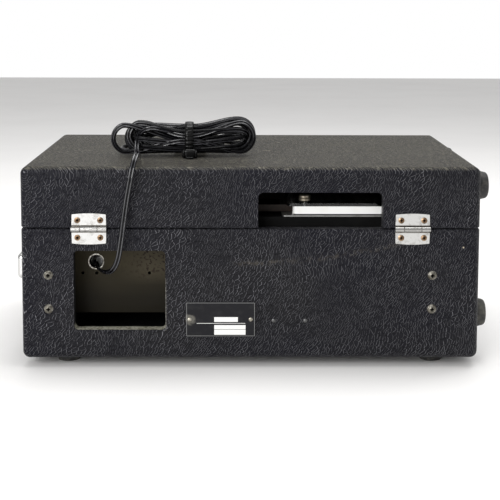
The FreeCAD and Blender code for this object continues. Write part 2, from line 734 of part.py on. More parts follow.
def data_plate():
    """A thin bare plate with round corners and two rivet holes."""
    x0 = PLATE_X - PLATE_WIDTH / 2
    z0 = CASE_Z + PLATE_Z - PLATE_HEIGHT / 2
    plate = slab(x0, x0 + PLATE_WIDTH, z0, z0 + PLATE_HEIGHT, REAR, REAR + PLATE_SHEET, PLATE_CORNER)
    z = CASE_Z + PLATE_Z
    holes = [rod(RIVET_RADIUS / 2 + FIT, Vec(x, REAR - 1, z), Vec(x, REAR + 2, z)) for x in PLATE_RIVET_XS]
    return plate.cut(holes)


def rear_rivets():
    """Two rivets hold the plate, two more stand on the board beside it."""
    rivets = []
    for x, z in rivet_places():
        seat_y = REAR + (PLATE_SHEET if x in PLATE_RIVET_XS else 0)
        head = domed_head(RIVET_RADIUS, RIVET_HEIGHT, Vec(x, seat_y, z), Vec(0, 1, 0))
        rivets.append(joined([head, rod(RIVET_RADIUS / 2, Vec(x, REAR - RIVET_SHANK, z), Vec(x, seat_y, z))]))
    return group(rivets)


def chassis_screws():
    """Machine screws in turned cup washers."""
    pieces = []
    for x in CHASSIS_SCREW_XS:
        for z in CHASSIS_SCREW_ZS:
            seat = Vec(x, REAR, CASE_Z + z)
            profile = [(CHASSIS_SCREW_RADIUS + FIT, 0), (CUP_WASHER_RADIUS, 0),
                       (CUP_WASHER_RADIUS - 0.5, CUP_WASHER_HEIGHT * 0.7),
                       (CHASSIS_SCREW_HEAD_RADIUS + 0.3, CUP_WASHER_HEIGHT),
                       (CHASSIS_SCREW_RADIUS + FIT, CUP_WASHER_HEIGHT * 0.5)]
            pieces.append(turned(profile, seat, Vec(0, 1, 0)))
            top = seat + Vec(0, CUP_WASHER_HEIGHT, 0)
            head = domed_head(CHASSIS_SCREW_HEAD_RADIUS, CHASSIS_SCREW_HEAD, top, Vec(0, 1, 0), crossed=True)
            tip = Vec(x, REAR_INNER - CHASSIS_SHEET - 2, CASE_Z + z)
            pieces.append(joined([head, rod(CHASSIS_SCREW_RADIUS, tip, top)]))
    return group(pieces)


def cord_grommet():
    """A thin metal bush that lines the cord's hole in the chassis."""
    x, z = GROMMET_X, CASE_Z + GROMMET_Z
    neck = GROMMET_HOLE_RADIUS - FIT
    bore = neck - GROMMET_WALL
    back = -CHASSIS_SHEET - GROMMET_NECK
    profile = [(bore, back), (neck, back), (neck, 0), (GROMMET_RIM_RADIUS, 0),
               (GROMMET_RIM_RADIUS, GROMMET_RIM), (bore, GROMMET_RIM)]
    return turned(profile, Vec(x, CHASSIS_REAR, z), Vec(0, 1, 0))


# ---------------------------------------------------------------- strap handle
def handle_screw_places():
    return [(side * (HANDLE_HALF_LENGTH - CAP_LENGTH / 4), CASE_Z + HANDLE_Z) for side in (-1, 1)]


def strap_outline(lift_end, lift_middle):
    """An arch along Y: its height off the side board at the ends and in the middle."""
    end = HANDLE_HALF_LENGTH - CAP_LENGTH / 2 - STRAP_END_GAP
    return [Vec(HALF_WIDTH + lift_end, -end, 0), Vec(HALF_WIDTH + lift_middle, 0, 0),
            Vec(HALF_WIDTH + lift_end, end, 0)]


def handle_strap():
    """A flat strap that arches from cap to cap."""
    z0 = CASE_Z + HANDLE_Z - STRAP_WIDTH / 2
    inner = [point + Vec(0, 0, z0) for point in strap_outline(STRAP_END_LIFT, STRAP_MIDDLE_LIFT)]
    outer = [point + Vec(STRAP_THICKNESS, 0, 0) for point in inner]
    wire = Part.Wire([Part.Arc(*inner).toShape(), Part.makeLine(inner[2], outer[2]),
                      Part.Arc(outer[2], outer[1], outer[0]).toShape(), Part.makeLine(outer[0], inner[0])])
    strap = Part.Face(wire).extrude(Vec(0, 0, STRAP_WIDTH))
    return soften(strap, STRAP_ROUND, lambda box: box.YLength > HANDLE_HALF_LENGTH)


def handle_cap(side):
    """A domed metal cap: the strap's end lies in its pocket."""
    y_out = side * HANDLE_HALF_LENGTH
    y_in = side * (HANDLE_HALF_LENGTH - CAP_LENGTH)
    z = CASE_Z + HANDLE_Z
    y0, y1 = min(y_out, y_in), max(y_out, y_in)
    cap = block(HALF_WIDTH, HANDLE_OUT, y0, y1, z - CAP_WIDTH / 2, z + CAP_WIDTH / 2)
    cap = soften(cap, CAP_CORNER, lambda box: box.XLength > HANDLE_HEIGHT - 0.1
                 and abs(box.YMin - y_out) < 0.1)
    cap = soften(cap, CAP_ROUND, lambda box: abs(box.XMin - HANDLE_OUT) < 0.01)
    pocket_half = STRAP_WIDTH / 2 + SEAT
    pocket_end = side * (HANDLE_HALF_LENGTH - CAP_LENGTH / 2 - STRAP_END_GAP + SEAT)
    p0, p1 = sorted((pocket_end, y_in - side))
    roof = HANDLE_OUT - CAP_WALL
    pocket = block(HALF_WIDTH + STRAP_END_LIFT - SEAT, roof, p0, p1, z - pocket_half, z + pocket_half)
    screw_y = side * (HANDLE_HALF_LENGTH - CAP_LENGTH / 4)
    well = rod(WOOD_SCREW_HEAD_RADIUS + SEAT, Vec(HALF_WIDTH + CAP_WALL, screw_y, z),
               Vec(HANDLE_OUT + 1, screw_y, z))
    hole = rod(WOOD_SCREW_RADIUS + FIT, Vec(HALF_WIDTH - 1, screw_y, z), Vec(HANDLE_OUT, screw_y, z))
    return cap.cut([pocket, well, hole])


def handle_caps():
    """Both caps and the screws at the bottom of their wells."""
    pieces = [handle_cap(side) for side in (-1, 1)]
    for y, z in handle_screw_places():
        pieces.append(wood_screw(Vec(HALF_WIDTH + CAP_WALL, y, z), Vec(1, 0, 0)))
    return group(pieces)


# ---------------------------------------------------------------- chassis, panel and deck
def panel_point(place, height=0.0):
    """A point in front of the panel's face; height is how far it stands out."""
    return Vec(place[0], PANEL_FACE - height, CASE_Z + place[1])


def panel_rod(radius, place, height_0, height_1):
    """A cylinder square to the panel between two heights off its face."""
    return rod(radius, panel_point(place, height_0), panel_point(place, height_1))


def panel_block(place, width, height, out_0, out_1):
    """A box square to the panel, centred on a place, between two heights off its face."""
    point = panel_point(place)
    return block(point.x - width / 2, point.x + width / 2, PANEL_FACE - max(out_0, out_1),
                 PANEL_FACE - min(out_0, out_1), point.z - height / 2, point.z + height / 2)


def chassis():
    """A bent tray with a rear wall, two side walls and two channels that the screws pull on."""
    half, sheet = CHASSIS_HALF_WIDTH, CHASSIS_SHEET
    front = PANEL_BACK
    pieces = [block(-half, half, CHASSIS_FLOOR_FRONT, CHASSIS_REAR, CHASSIS_FLOOR, CHASSIS_FLOOR_TOP),
              block(-half, half, CHASSIS_REAR - sheet, CHASSIS_REAR, CHASSIS_FLOOR, DECK_UNDER),
              block(-half, -half + sheet, front, CHASSIS_REAR, CHASSIS_FLOOR, DECK_UNDER),
              block(half - sheet, half, front, CHASSIS_REAR, CHASSIS_FLOOR, DECK_UNDER)]
    z0 = CASE_Z + CHASSIS_SCREW_ZS[0] - BRACKET_MARGIN
    z1 = CASE_Z + CHASSIS_SCREW_ZS[1] + BRACKET_MARGIN
    for x in CHASSIS_SCREW_XS:
        channel = block(x - BRACKET_WIDTH / 2, x + BRACKET_WIDTH / 2, CHASSIS_REAR, REAR_INNER, z0, z1)
        inside = block(x - BRACKET_WIDTH / 2 + sheet, x + BRACKET_WIDTH / 2 - sheet, CHASSIS_REAR,
                       REAR_INNER - sheet, z0 - 1, z1 + 1)
        pieces.append(channel.cut(inside))
    body = joined(pieces)
    holes = [rod(REAR_HOLE_RADIUS, Vec(x, CHASSIS_REAR - 5, CASE_Z + REAR_HOLE_Z),
                 Vec(x, CHASSIS_REAR + 5, CASE_Z + REAR_HOLE_Z)) for x in REAR_HOLE_XS]
    holes.append(rod(GROMMET_HOLE_RADIUS, Vec(GROMMET_X, CHASSIS_REAR - 5, CASE_Z + GROMMET_Z),
                     Vec(GROMMET_X, CHASSIS_REAR + 5, CASE_Z + GROMMET_Z)))
    for x in CHASSIS_SCREW_XS:
        for z in CHASSIS_SCREW_ZS:
            holes.append(rod(CHASSIS_SCREW_RADIUS + FIT, Vec(x, REAR_INNER - 5, CASE_Z + z),
                             Vec(x, REAR_INNER + 1, CASE_Z + z)))
    return body.cut(holes)


def front_panel():
    """The control panel, with a hole for each bush, jack, lamp, switch and the meter."""
    edge = SIDE_INNER - PANEL_EDGE_GAP
    panel = block(-edge, edge, PANEL_FACE, PANEL_BACK, FLOOR_TOP + PANEL_EDGE_GAP, PANEL_TOP)
    holes = []
    for place in list(SMALL_KNOBS.values()) + [MODE_KNOB_AT]:
        holes.append(panel_rod(BUSH_RADIUS + FIT, place, 1, -PANEL_SHEET - 1))
    for place in JACKS.values():
        holes.append(panel_rod(JACK_BUSH_RADIUS + FIT, place, 1, -PANEL_SHEET - 1))
    for place in LAMPS.values():
        holes.append(panel_rod(LAMP_RADIUS + FIT, place, 1, -PANEL_SHEET - 1))
    holes.append(panel_rod(TOGGLE_BUSH_RADIUS + FIT, TOGGLE_AT, 1, -PANEL_SHEET - 1))
    holes.append(panel_block(SLIDER_AT, SLIDER_SLOT, SLIDER_THICKNESS + 2 * SEAT, 1, -PANEL_SHEET - 1))
    holes.append(panel_block(METER_AT, METER_BODY_WIDTH + 2 * FIT, METER_BODY_HEIGHT + 2 * FIT, 1,
                             -PANEL_SHEET - 1))
    return panel.cut(holes)


def deck_plate():
    """The top of the transport: a folded plate with skirts and the capstan's bearing bush."""
    half, sheet = DECK_HALF_WIDTH, DECK_SHEET
    skirt_z = DECK_TOP - DECK_SKIRT
    front_half = CHASSIS_HALF_WIDTH - CHASSIS_SHEET - SEAT
    pieces = [block(-half, half, DECK_FRONT, DECK_REAR, DECK_UNDER, DECK_TOP),
              block(-half, half, DECK_REAR - sheet, DECK_REAR, skirt_z, DECK_TOP),
              block(-half, -half + sheet, DECK_FRONT, DECK_REAR, skirt_z, DECK_TOP),
              block(half - sheet, half, DECK_FRONT, DECK_REAR, skirt_z, DECK_TOP),
              block(-front_half, front_half, DECK_FRONT, DECK_FRONT + sheet, DECK_TOP - DECK_FRONT_SKIRT,
                    DECK_TOP),
              rod(BEARING_RADIUS, Vec(CAPSTAN_X, CAPSTAN_Y, DECK_UNDER - BEARING_DEPTH),
                  Vec(CAPSTAN_X, CAPSTAN_Y, DECK_TOP))]
    holes = [rod(CAPSTAN_RADIUS + FIT, Vec(CAPSTAN_X, CAPSTAN_Y, DECK_UNDER - BEARING_DEPTH - 1),
                 Vec(CAPSTAN_X, CAPSTAN_Y, DECK_TOP + 1))]
    for x, y in thumb_screw_places():
        holes.append(rod(THUMB_SCREW_STEM_RADIUS + FIT, Vec(x, y, DECK_UNDER - 1), Vec(x, y, DECK_TOP + 1)))
    for x, y in ((PINCH_PIVOT_X, PINCH_PIVOT_Y), (TENSION_ARM_X, TENSION_ARM_Y)):
        holes.append(rod(PINCH_PIN_RADIUS + FIT, Vec(x, y, DECK_UNDER - 1), Vec(x, y, DECK_TOP + 1)))
    return joined(pieces).cut(holes)


# ---------------------------------------------------------------- tape tank
def thumb_screw_places():
    rear_y = REAR - THUMB_SCREW_INSET
    front_y = TANK_FRONT_Y + THUMB_SCREW_INSET - DECK_REAR_INSET
    left_x = TANK_LEFT + THUMB_SCREW_INSET - DECK_REAR_INSET
    return [(x, y) for x in (THUMB_SCREW_X, left_x) for y in (rear_y, front_y)]


def tank_plate():
    """The bright floor plate of the tank, flush with the deck's rear edge."""
    plate = tray(TANK_LEFT, TANK_PLATE_RIGHT, TANK_FRONT_Y, DECK_REAR, DECK_TOP, TANK_PLATE_TOP, 3.0)
    return plate.cut(stem_holes(DECK_TOP, TANK_PLATE_TOP))


def stem_holes(z0, z1):
    return [rod(THUMB_SCREW_STEM_RADIUS + FIT, Vec(x, y, z0 - 1), Vec(x, y, z1 + 1))
            for x, y in thumb_screw_places()]


def tape_tank():
    """The tank's low wall: a ring with two gates through which the tape comes and goes."""
    x0, x1 = TANK_LEFT + TANK_WALL_INSET, TANK_WALL_RIGHT
    y0, y1 = TANK_FRONT_Y + TANK_WALL_INSET, DECK_REAR - TANK_WALL_INSET
    wall = tray(x0, x1, y0, y1, TANK_PLATE_TOP, TANK_TOP, 4.0)
    inside = tray(x0 + TANK_WALL, x1 - TANK_WALL, y0 + TANK_WALL, y1 - TANK_WALL, TANK_PLATE_TOP - 1,
                  TANK_TOP + 1, 2.0)
    gates = [block(x1 - TANK_WALL - 1, x1 + 1, y - GATE_HALF, y + GATE_HALF, TANK_PLATE_TOP - 1, TANK_TOP - 1)
             for y in (HEAD_LINE_Y, RETURN_LINE_Y)]
    return wall.cut([inside] + gates)


def tank_cover():
    """The clear cover that lies on the tank's wall."""
    cover = tray(TANK_LEFT, COVER_RIGHT, TANK_FRONT_Y, DECK_REAR - 1, TANK_TOP, COVER_TOP, 4.0)
    return cover.cut(stem_holes(TANK_TOP, COVER_TOP))


def cover_screws():
    """Thumb screws that hold the cover, each with a waisted head and a long stem."""
    radius, head = THUMB_SCREW_RADIUS, THUMB_SCREW_HEAD
    stem = THUMB_SCREW_STEM_RADIUS
    drop = COVER_TOP - DECK_UNDER + THUMB_SCREW_TIP
    lift = THUMB_SCREW_LIFT
    profile = [(0, -drop), (stem, -drop), (stem, 0), (stem + 1.2, 0), (stem + 1.2, 0.6), (stem, lift * 0.7),
               (stem, lift), (radius - 0.5, lift), (radius, lift + 0.5), (radius, lift + head * 0.42),
               (radius - 0.6, lift + head * 0.5), (radius, lift + head * 0.58), (radius, lift + head - 0.5),
               (radius - 0.5, lift + head), (0, lift + head)]
    return group([turned(profile, Vec(x, y, COVER_TOP), Vec(0, 0, 1)) for x, y in thumb_screw_places()])


# ---------------------------------------------------------------- tape transport
def head_plate():
    """The plate that carries the heads, and its two flanged guide posts."""
    plate = tray(HEAD_XS[-1] - HEAD_WIDTH, TURN_X + 2 * GUIDE_FLANGE_RADIUS, HEAD_LINE_Y + 1,
                 RETURN_LINE_Y + 2 * GUIDE_FLANGE_RADIUS, DECK_TOP, HEAD_PLATE_TOP, 4.0)
    pieces = [plate.cut(rod(PINCH_PIN_RADIUS + FIT, Vec(TENSION_ARM_X, TENSION_ARM_Y, DECK_TOP - 1),
                            Vec(TENSION_ARM_X, TENSION_ARM_Y, HEAD_PLATE_TOP + 1)))]
    for y in (HEAD_LINE_Y + GUIDE_OFFSET, RETURN_LINE_Y - GUIDE_OFFSET):
        top = TAPE_Z + TAPE_WIDTH + SEAT
        profile = [(0, 0), (GUIDE_RADIUS, 0), (GUIDE_RADIUS, top - HEAD_PLATE_TOP),
                   (GUIDE_FLANGE_RADIUS, top - HEAD_PLATE_TOP),
                   (GUIDE_FLANGE_RADIUS - 0.3, top - HEAD_PLATE_TOP + GUIDE_FLANGE),
                   (0, top - HEAD_PLATE_TOP + GUIDE_FLANGE)]
        pieces.append(turned(profile, Vec(TURN_X, y, HEAD_PLATE_TOP), Vec(0, 0, 1)))
    return group(pieces)


def tape_head(x):
    """A head: a block with a round nose that the tape runs over."""
    y = HEAD_LINE_Y + TAPE_THICKNESS / 2 + FIT
    body = block(x - HEAD_WIDTH / 2, x + HEAD_WIDTH / 2, y, y + HEAD_DEPTH, HEAD_PLATE_TOP,
                 HEAD_PLATE_TOP + HEAD_HEIGHT)
    nose = rod(HEAD_NOSE_RADIUS, Vec(x, y + HEAD_NOSE_RADIUS, HEAD_PLATE_TOP),
               Vec(x, y + HEAD_NOSE_RADIUS, HEAD_PLATE_TOP + HEAD_HEIGHT))
    rear = block(x - HEAD_WIDTH / 2, x + HEAD_WIDTH / 2, y + HEAD_NOSE_RADIUS, y + HEAD_DEPTH,
                 HEAD_PLATE_TOP, HEAD_PLATE_TOP + HEAD_HEIGHT)
    return joined([body.common(nose), rear])


def tape_heads():
    return group([tape_head(x) for x in HEAD_XS])


def tape_path():
    """The closed path of the tape's middle: over the heads, folded to and fro in the tank, and back."""
    folds = 2 * LOOP_FOLDS
    pitch = 2 * LOOP_FOLD_RADIUS
    first_x = TANK_WALL_RIGHT - LOOP_START
    low = TANK_FRONT_Y + LOOP_LOW
    high = RETURN_LINE_Y - LOOP_HIGH
    r = LOOP_FOLD_RADIUS
    turn = GUIDE_RADIUS + TAPE_THICKNESS / 2 + FIT
    s = math.sqrt(0.5)
    guide_low = Vec(TURN_X, HEAD_LINE_Y + turn, TAPE_Z)
    guide_high = Vec(TURN_X, RETURN_LINE_Y - turn, TAPE_Z)
    edges = []

    def arc_to(start, middle, end):
        edges.append(Part.Arc(start, middle, end).toShape())
        return end

    def line_to(start, end):
        edges.append(Part.makeLine(start, end))
        return end

    here = guide_low + Vec(0, -turn, 0)
    origin = here
    here = line_to(here, Vec(first_x + r, HEAD_LINE_Y, TAPE_Z))
    centre = Vec(first_x + r, HEAD_LINE_Y - r, TAPE_Z)
    here = arc_to(here, centre + Vec(-r * s, r * s, 0), centre + Vec(-r, 0, 0))
    for fold in range(folds):
        x = first_x - fold * pitch
        down = fold % 2 == 0
        last = fold == folds - 1
        goal_y = low if down else (RETURN_LINE_Y - r if last else high)
        here = line_to(here, Vec(x, goal_y, TAPE_Z))
        if last:
            centre = here + Vec(r, 0, 0)
            here = arc_to(here, centre + Vec(-r * s, r * s, 0), centre + Vec(0, r, 0))
        else:
            side = -1 if down else 1
            here = arc_to(here, Vec(x - r, goal_y + side * r, TAPE_Z), Vec(x - pitch, goal_y, TAPE_Z))
    here = line_to(here, guide_high + Vec(0, turn, 0))
    here = arc_to(here, guide_high + Vec(turn * s, turn * s, 0), guide_high + Vec(turn, 0, 0))
    here = line_to(here, guide_low + Vec(turn, 0, 0))
    arc_to(here, guide_low + Vec(turn * s, -turn * s, 0), origin)
    return Part.Wire(edges)


def tape_loop():
    """The endless tape: its path made as thick as tape and stood on edge."""
    middle = tape_path()
    outer = middle.makeOffset2D(TAPE_THICKNESS / 2)
    inner = middle.makeOffset2D(-TAPE_THICKNESS / 2)
    big, small = sorted((Part.Face(outer), Part.Face(inner)), key=lambda face: -face.Area)
    return big.cut(small).extrude(Vec(0, 0, TAPE_WIDTH)).Solids[0]


def capstan():
    """The capstan's shaft and its flywheel under the deck, turned as one."""
    bottom = FLYWHEEL_Z - BRIDGE_GAP
    hub = FLYWHEEL_HUB_RADIUS
    rim = FLYWHEEL_RADIUS
    inside = rim - FLYWHEEL_RIM_WIDTH
    tip = DECK_TOP + CAPSTAN_TOP
    profile = [(0, bottom), (CAPSTAN_RADIUS, bottom), (CAPSTAN_RADIUS, FLYWHEEL_Z), (rim - 1, FLYWHEEL_Z),
               (rim, FLYWHEEL_Z + 1), (rim, FLYWHEEL_TOP - 1), (rim - 1, FLYWHEEL_TOP),
               (inside, FLYWHEEL_TOP), (inside, FLYWHEEL_Z + FLYWHEEL_WEB), (hub, FLYWHEEL_Z + FLYWHEEL_WEB),
               (hub, FLYWHEEL_TOP), (CAPSTAN_RADIUS, FLYWHEEL_TOP), (CAPSTAN_RADIUS, tip - 1),
               (CAPSTAN_RADIUS - 1, tip), (0, tip)]
    return turned(profile, Vec(CAPSTAN_X, CAPSTAN_Y, 0), Vec(0, 0, 1))


def flywheel_bridge():
    """A bent strip under the flywheel with the cup that the shaft stands in."""
    x, y = CAPSTAN_X, CAPSTAN_Y
    span, half, sheet = FLYWHEEL_RADIUS + BRIDGE_MARGIN, BRIDGE_WIDTH / 2, BRIDGE_SHEET
    z1 = FLYWHEEL_Z - BRIDGE_GAP - SEAT
    pieces = [block(x - half, x + half, y - span, y + span, z1 - sheet, z1),
              block(x - half, x + half, y - span, y - span + sheet, z1 - sheet, DECK_UNDER),
              block(x - half, x + half, y + span - sheet, y + span, z1 - sheet, DECK_UNDER)]
    cup = rod(BEARING_RADIUS, Vec(x, y, z1), Vec(x, y, FLYWHEEL_Z - SEAT))
    cup = cup.cut(rod(CAPSTAN_RADIUS + FIT, Vec(x, y, z1), Vec(x, y, FLYWHEEL_Z)))
    return joined(pieces + [cup])


def belt_outline(extra, z):
    """The line round both pulleys, at a distance from their rims: two arcs and two tangents."""
    a = Vec(MOTOR_X, MOTOR_Y, z)
    b = Vec(CAPSTAN_X, CAPSTAN_Y, z)
    radius_a, radius_b = PULLEY_RADIUS + extra, FLYWHEEL_RADIUS + extra
    heading = math.atan2(b.y - a.y, b.x - a.x)
    spread = math.acos((radius_a - radius_b) / (b - a).Length)

    def rim(centre, radius, angle):
        return centre + Vec(radius * math.cos(angle), radius * math.sin(angle), 0)

    a1, a2 = rim(a, radius_a, heading + spread), rim(a, radius_a, heading - spread)
    b1, b2 = rim(b, radius_b, heading + spread), rim(b, radius_b, heading - spread)
    return Part.Wire([Part.makeLine(a1, b1), Part.Arc(b1, rim(b, radius_b, heading), b2).toShape(),
                      Part.makeLine(b2, a2), Part.Arc(a2, rim(a, radius_a, heading + math.pi), a1).toShape()])


def drive_belt():
    """A flat belt round the motor's pulley and the flywheel."""
    z = (FLYWHEEL_Z + FLYWHEEL_TOP - BELT_WIDTH) / 2
    outer = Part.Face(belt_outline(SEAT + BELT_THICKNESS, z))
    inner = Part.Face(belt_outline(SEAT, z))
    return outer.cut(inner).extrude(Vec(0, 0, BELT_WIDTH)).Solids[0]


def motor():
    """The motor: a can with a rear boss, hung from the deck on three posts."""
    top = PULLEY_Z - PULLEY_GAP
    bottom = top - MOTOR_HEIGHT
    centre = Vec(MOTOR_X, MOTOR_Y, 0)
    can = rod(MOTOR_RADIUS, centre + Vec(0, 0, bottom), centre + Vec(0, 0, top))
    can = soften(can, MOTOR_ROUND, lambda box: box.ZLength < 0.01)
    pieces = [can, rod(BEARING_RADIUS, centre + Vec(0, 0, bottom - MOTOR_BOSS), centre + Vec(0, 0, bottom))]
    heading = math.degrees(math.atan2(CAPSTAN_Y - MOTOR_Y, CAPSTAN_X - MOTOR_X))
    for step in MOTOR_POST_ANGLES:
        angle = math.radians(heading + step)
        reach = MOTOR_RADIUS - 2 * MOTOR_POST_RADIUS
        foot = centre + Vec(reach * math.cos(angle), reach * math.sin(angle), top)
        pieces.append(rod(MOTOR_POST_RADIUS, foot, Vec(foot.x, foot.y, DECK_UNDER)))
    bore = rod(MOTOR_SHAFT_RADIUS + FIT, centre + Vec(0, 0, top - MOTOR_BORE),
               centre + Vec(0, 0, top + 1))
    return joined(pieces).cut(bore)


def motor_pulley():
    """The motor's shaft with its flanged pulley."""
    radius = PULLEY_RADIUS
    z0, z1 = PULLEY_Z, PULLEY_Z + PULLEY_HEIGHT
    bottom = z0 - PULLEY_GAP - MOTOR_BORE + 1
    flange = radius + PULLEY_FLANGE
    profile = [(0, bottom), (MOTOR_SHAFT_RADIUS, bottom), (MOTOR_SHAFT_RADIUS, z0), (flange, z0),
               (flange, z0 + 1), (radius, z0 + 1.4), (radius, z1 - 1.4), (flange, z1 - 1), (flange, z1),
               (0, z1)]
    return turned(profile, Vec(MOTOR_X, MOTOR_Y, 0), Vec(0, 0, 1))


def pinch_arm():
    """The arm that swings the pinch roller to the capstan: pivot pin, arm and roller pin."""
    pivot = Vec(PINCH_PIVOT_X, PINCH_PIVOT_Y, 0)
    roller = Vec(CAPSTAN_X, PINCH_ROLLER_Y, 0)
    z0 = DECK_TOP + SEAT
    z1 = z0 + PINCH_ARM_SHEET
    along = roller - pivot
    angle = math.degrees(math.atan2(along.y, along.x))
    bar = block(0, along.Length, -PINCH_ARM_WIDTH / 2, PINCH_ARM_WIDTH / 2, z0, z1)
    bar.rotate(Vec(0, 0, 0), Vec(0, 0, 1), angle)
    bar.translate(pivot)
    half = PINCH_ARM_WIDTH / 2
    ends = [rod(half, point + Vec(0, 0, z0), point + Vec(0, 0, z1)) for point in (pivot, roller)]
    pin_top = ROLLER_Z + PINCH_ROLLER_HEIGHT + PIN_PROUD
    pins = [rod(PINCH_PIN_RADIUS, pivot + Vec(0, 0, DECK_UNDER), pivot + Vec(0, 0, z1 + PIN_PROUD)),
            rod(PINCH_PIN_RADIUS, roller + Vec(0, 0, z0), roller + Vec(0, 0, pin_top))]
    return joined([bar] + ends + pins)


def pinch_roller():
    """A rubber roller with a bore for its pin."""
    centre = Vec(CAPSTAN_X, PINCH_ROLLER_Y, ROLLER_Z)
    bore, radius, height = PINCH_PIN_RADIUS + FIT, PINCH_ROLLER_RADIUS, PINCH_ROLLER_HEIGHT
    ease = PINCH_ROLLER_EASE
    profile = [(bore, 0), (radius - ease, 0), (radius, ease), (radius, height - ease),
               (radius - ease, height), (bore, height)]
    return turned(profile, centre, Vec(0, 0, 1))


def tension_arm():
    """The light arm whose post rests against the returning tape."""
    pivot = Vec(TENSION_ARM_X, TENSION_ARM_Y, 0)
    post = Vec(TENSION_ARM_X + TENSION_REACH, RETURN_LINE_Y - TAPE_THICKNESS / 2 - SEAT - GUIDE_RADIUS, 0)
    z0 = HEAD_PLATE_TOP + SEAT
    z1 = z0 + TENSION_ARM_SHEET
    along = post - pivot
    bar = block(0, along.Length, -TENSION_ARM_WIDTH / 2, TENSION_ARM_WIDTH / 2, z0, z1)
    bar.rotate(Vec(0, 0, 0), Vec(0, 0, 1), math.degrees(math.atan2(along.y, along.x)))
    bar.translate(pivot)
    pieces = [bar, rod(TENSION_HUB_RADIUS, pivot + Vec(0, 0, z0), pivot + Vec(0, 0, z0 + TENSION_HUB_HEIGHT)),
              rod(PINCH_PIN_RADIUS, pivot + Vec(0, 0, DECK_UNDER), pivot + Vec(0, 0, z1)),
              rod(GUIDE_RADIUS, post + Vec(0, 0, z0), post + Vec(0, 0, TAPE_Z + TAPE_WIDTH + 1))]
    return joined(pieces)


# ---------------------------------------------------------------- electrical pieces in the chassis
def power_transformer():
    """A laminated core between two coil bobbins, on two feet."""
    x, y, z = TRANSFORMER_X, TRANSFORMER_Y, CHASSIS_FLOOR_TOP
    w, d, h = TRANSFORMER_WIDTH / 2, TRANSFORMER_DEPTH / 2, TRANSFORMER_HEIGHT
    core = block(x - w * 0.8, x + w * 0.8, y - d * 0.5, y + d * 0.5, z, z + h)
    coil = soften(block(x - w * 0.55, x + w * 0.55, y - d, y + d, z + h * 0.17, z + h * 0.83), 4.0,
                  lambda box: box.YLength > d)
    foot = block(x - w, x + w, y - d * 0.5, y + d * 0.5, z, z + 2)
    return joined([core, coil, foot])


def main_board():
    """The circuit board on its standoffs, with capacitors, a heat sink and trimmer blocks."""
    x0, x1 = MAIN_BOARD_X - MAIN_BOARD_WIDTH / 2, MAIN_BOARD_X + MAIN_BOARD_WIDTH / 2
    y0, y1 = MAIN_BOARD_FRONT, MAIN_BOARD_REAR
    z = CHASSIS_FLOOR_TOP + STANDOFF_HEIGHT
    top = z + BOARD_SHEET
    pieces = [block(x0, x1, y0, y1, z, top)]
    for x in (x0 + STANDOFF_INSET, x1 - STANDOFF_INSET):
        for y in (y0 + STANDOFF_INSET, y1 - STANDOFF_INSET):
            pieces.append(rod(STANDOFF_RADIUS, Vec(x, y, CHASSIS_FLOOR_TOP), Vec(x, y, z)))
    width, depth, height = TRIMMER
    for column in range(PART_COLUMNS):
        x = x0 + PART_START + column * PART_PITCH
        for (radius, tall), row in ((BIG_CAPACITOR, BIG_ROW), (SMALL_CAPACITOR, SMALL_ROW)):
            y = y1 - row * (y1 - y0)
            pieces.append(rod(radius, Vec(x, y, top), Vec(x, y, top + tall)))
        y = y1 - TRIMMER_ROW * (y1 - y0)
        pieces.append(block(x - width / 2, x + width / 2, y - depth / 2, y + depth / 2, top, top + height))
    y = y1 - HEAT_SINK_ROW * (y1 - y0)
    pieces.append(block(x0 + HEAT_SINK_INSET, x1 - HEAT_SINK_INSET, y - HEAT_SINK_SHEET / 2,
                        y + HEAT_SINK_SHEET / 2, top, top + HEAT_SINK_HEIGHT))
    return group(pieces)


def reverb_pan():
    """A shallow closed pan with a lug at each end, for the reverb springs."""
    x, y, z = REVERB_X, REVERB_Y, CHASSIS_FLOOR_TOP
    half, depth = REVERB_LENGTH / 2, REVERB_DEPTH / 2
    pan = tray(x - half, x + half, y - depth, y + depth, z, z + REVERB_HEIGHT, 3.0)
    lugs = block(x - half - REVERB_LUG, x + half + REVERB_LUG, y - REVERB_LUG_WIDTH / 2,
                 y + REVERB_LUG_WIDTH / 2, z, z + REVERB_LUG_SHEET)
    return joined([pan, lugs])


def hex_nut(place, across, height):
    """A six-sided nut lying on the panel's face."""
    radius = across / math.sqrt(3)
    centre = panel_point(place)
    angles = [math.radians(60 * k) for k in range(7)]
    corners = [centre + Vec(radius * math.cos(angle), 0, radius * math.sin(angle)) for angle in angles]
    return Part.Face(Part.makePolygon(corners)).extrude(Vec(0, -height, 0))


def potentiometer(place):
    """A can behind the panel, its bush through the panel and its nut in front."""
    can = panel_rod(POT_RADIUS, place, -PANEL_SHEET - POT_DEPTH, -PANEL_SHEET)
    tags = panel_block((place[0], place[1] - POT_RADIUS), 13, 9, -PANEL_SHEET - 4, -PANEL_SHEET - 2.5)
    bush = panel_rod(BUSH_RADIUS, place, -PANEL_SHEET, NUT_HEIGHT + BUSH_PROUD)
    body = joined([can, tags, bush, hex_nut(place, NUT_ACROSS, NUT_HEIGHT)])
    return body.cut(panel_rod(SHAFT_RADIUS + FIT, place, -PANEL_SHEET - POT_DEPTH + 1, NUT_HEIGHT + 1))


def potentiometers():
    return group([potentiometer(place) for place in SMALL_KNOBS.values()])


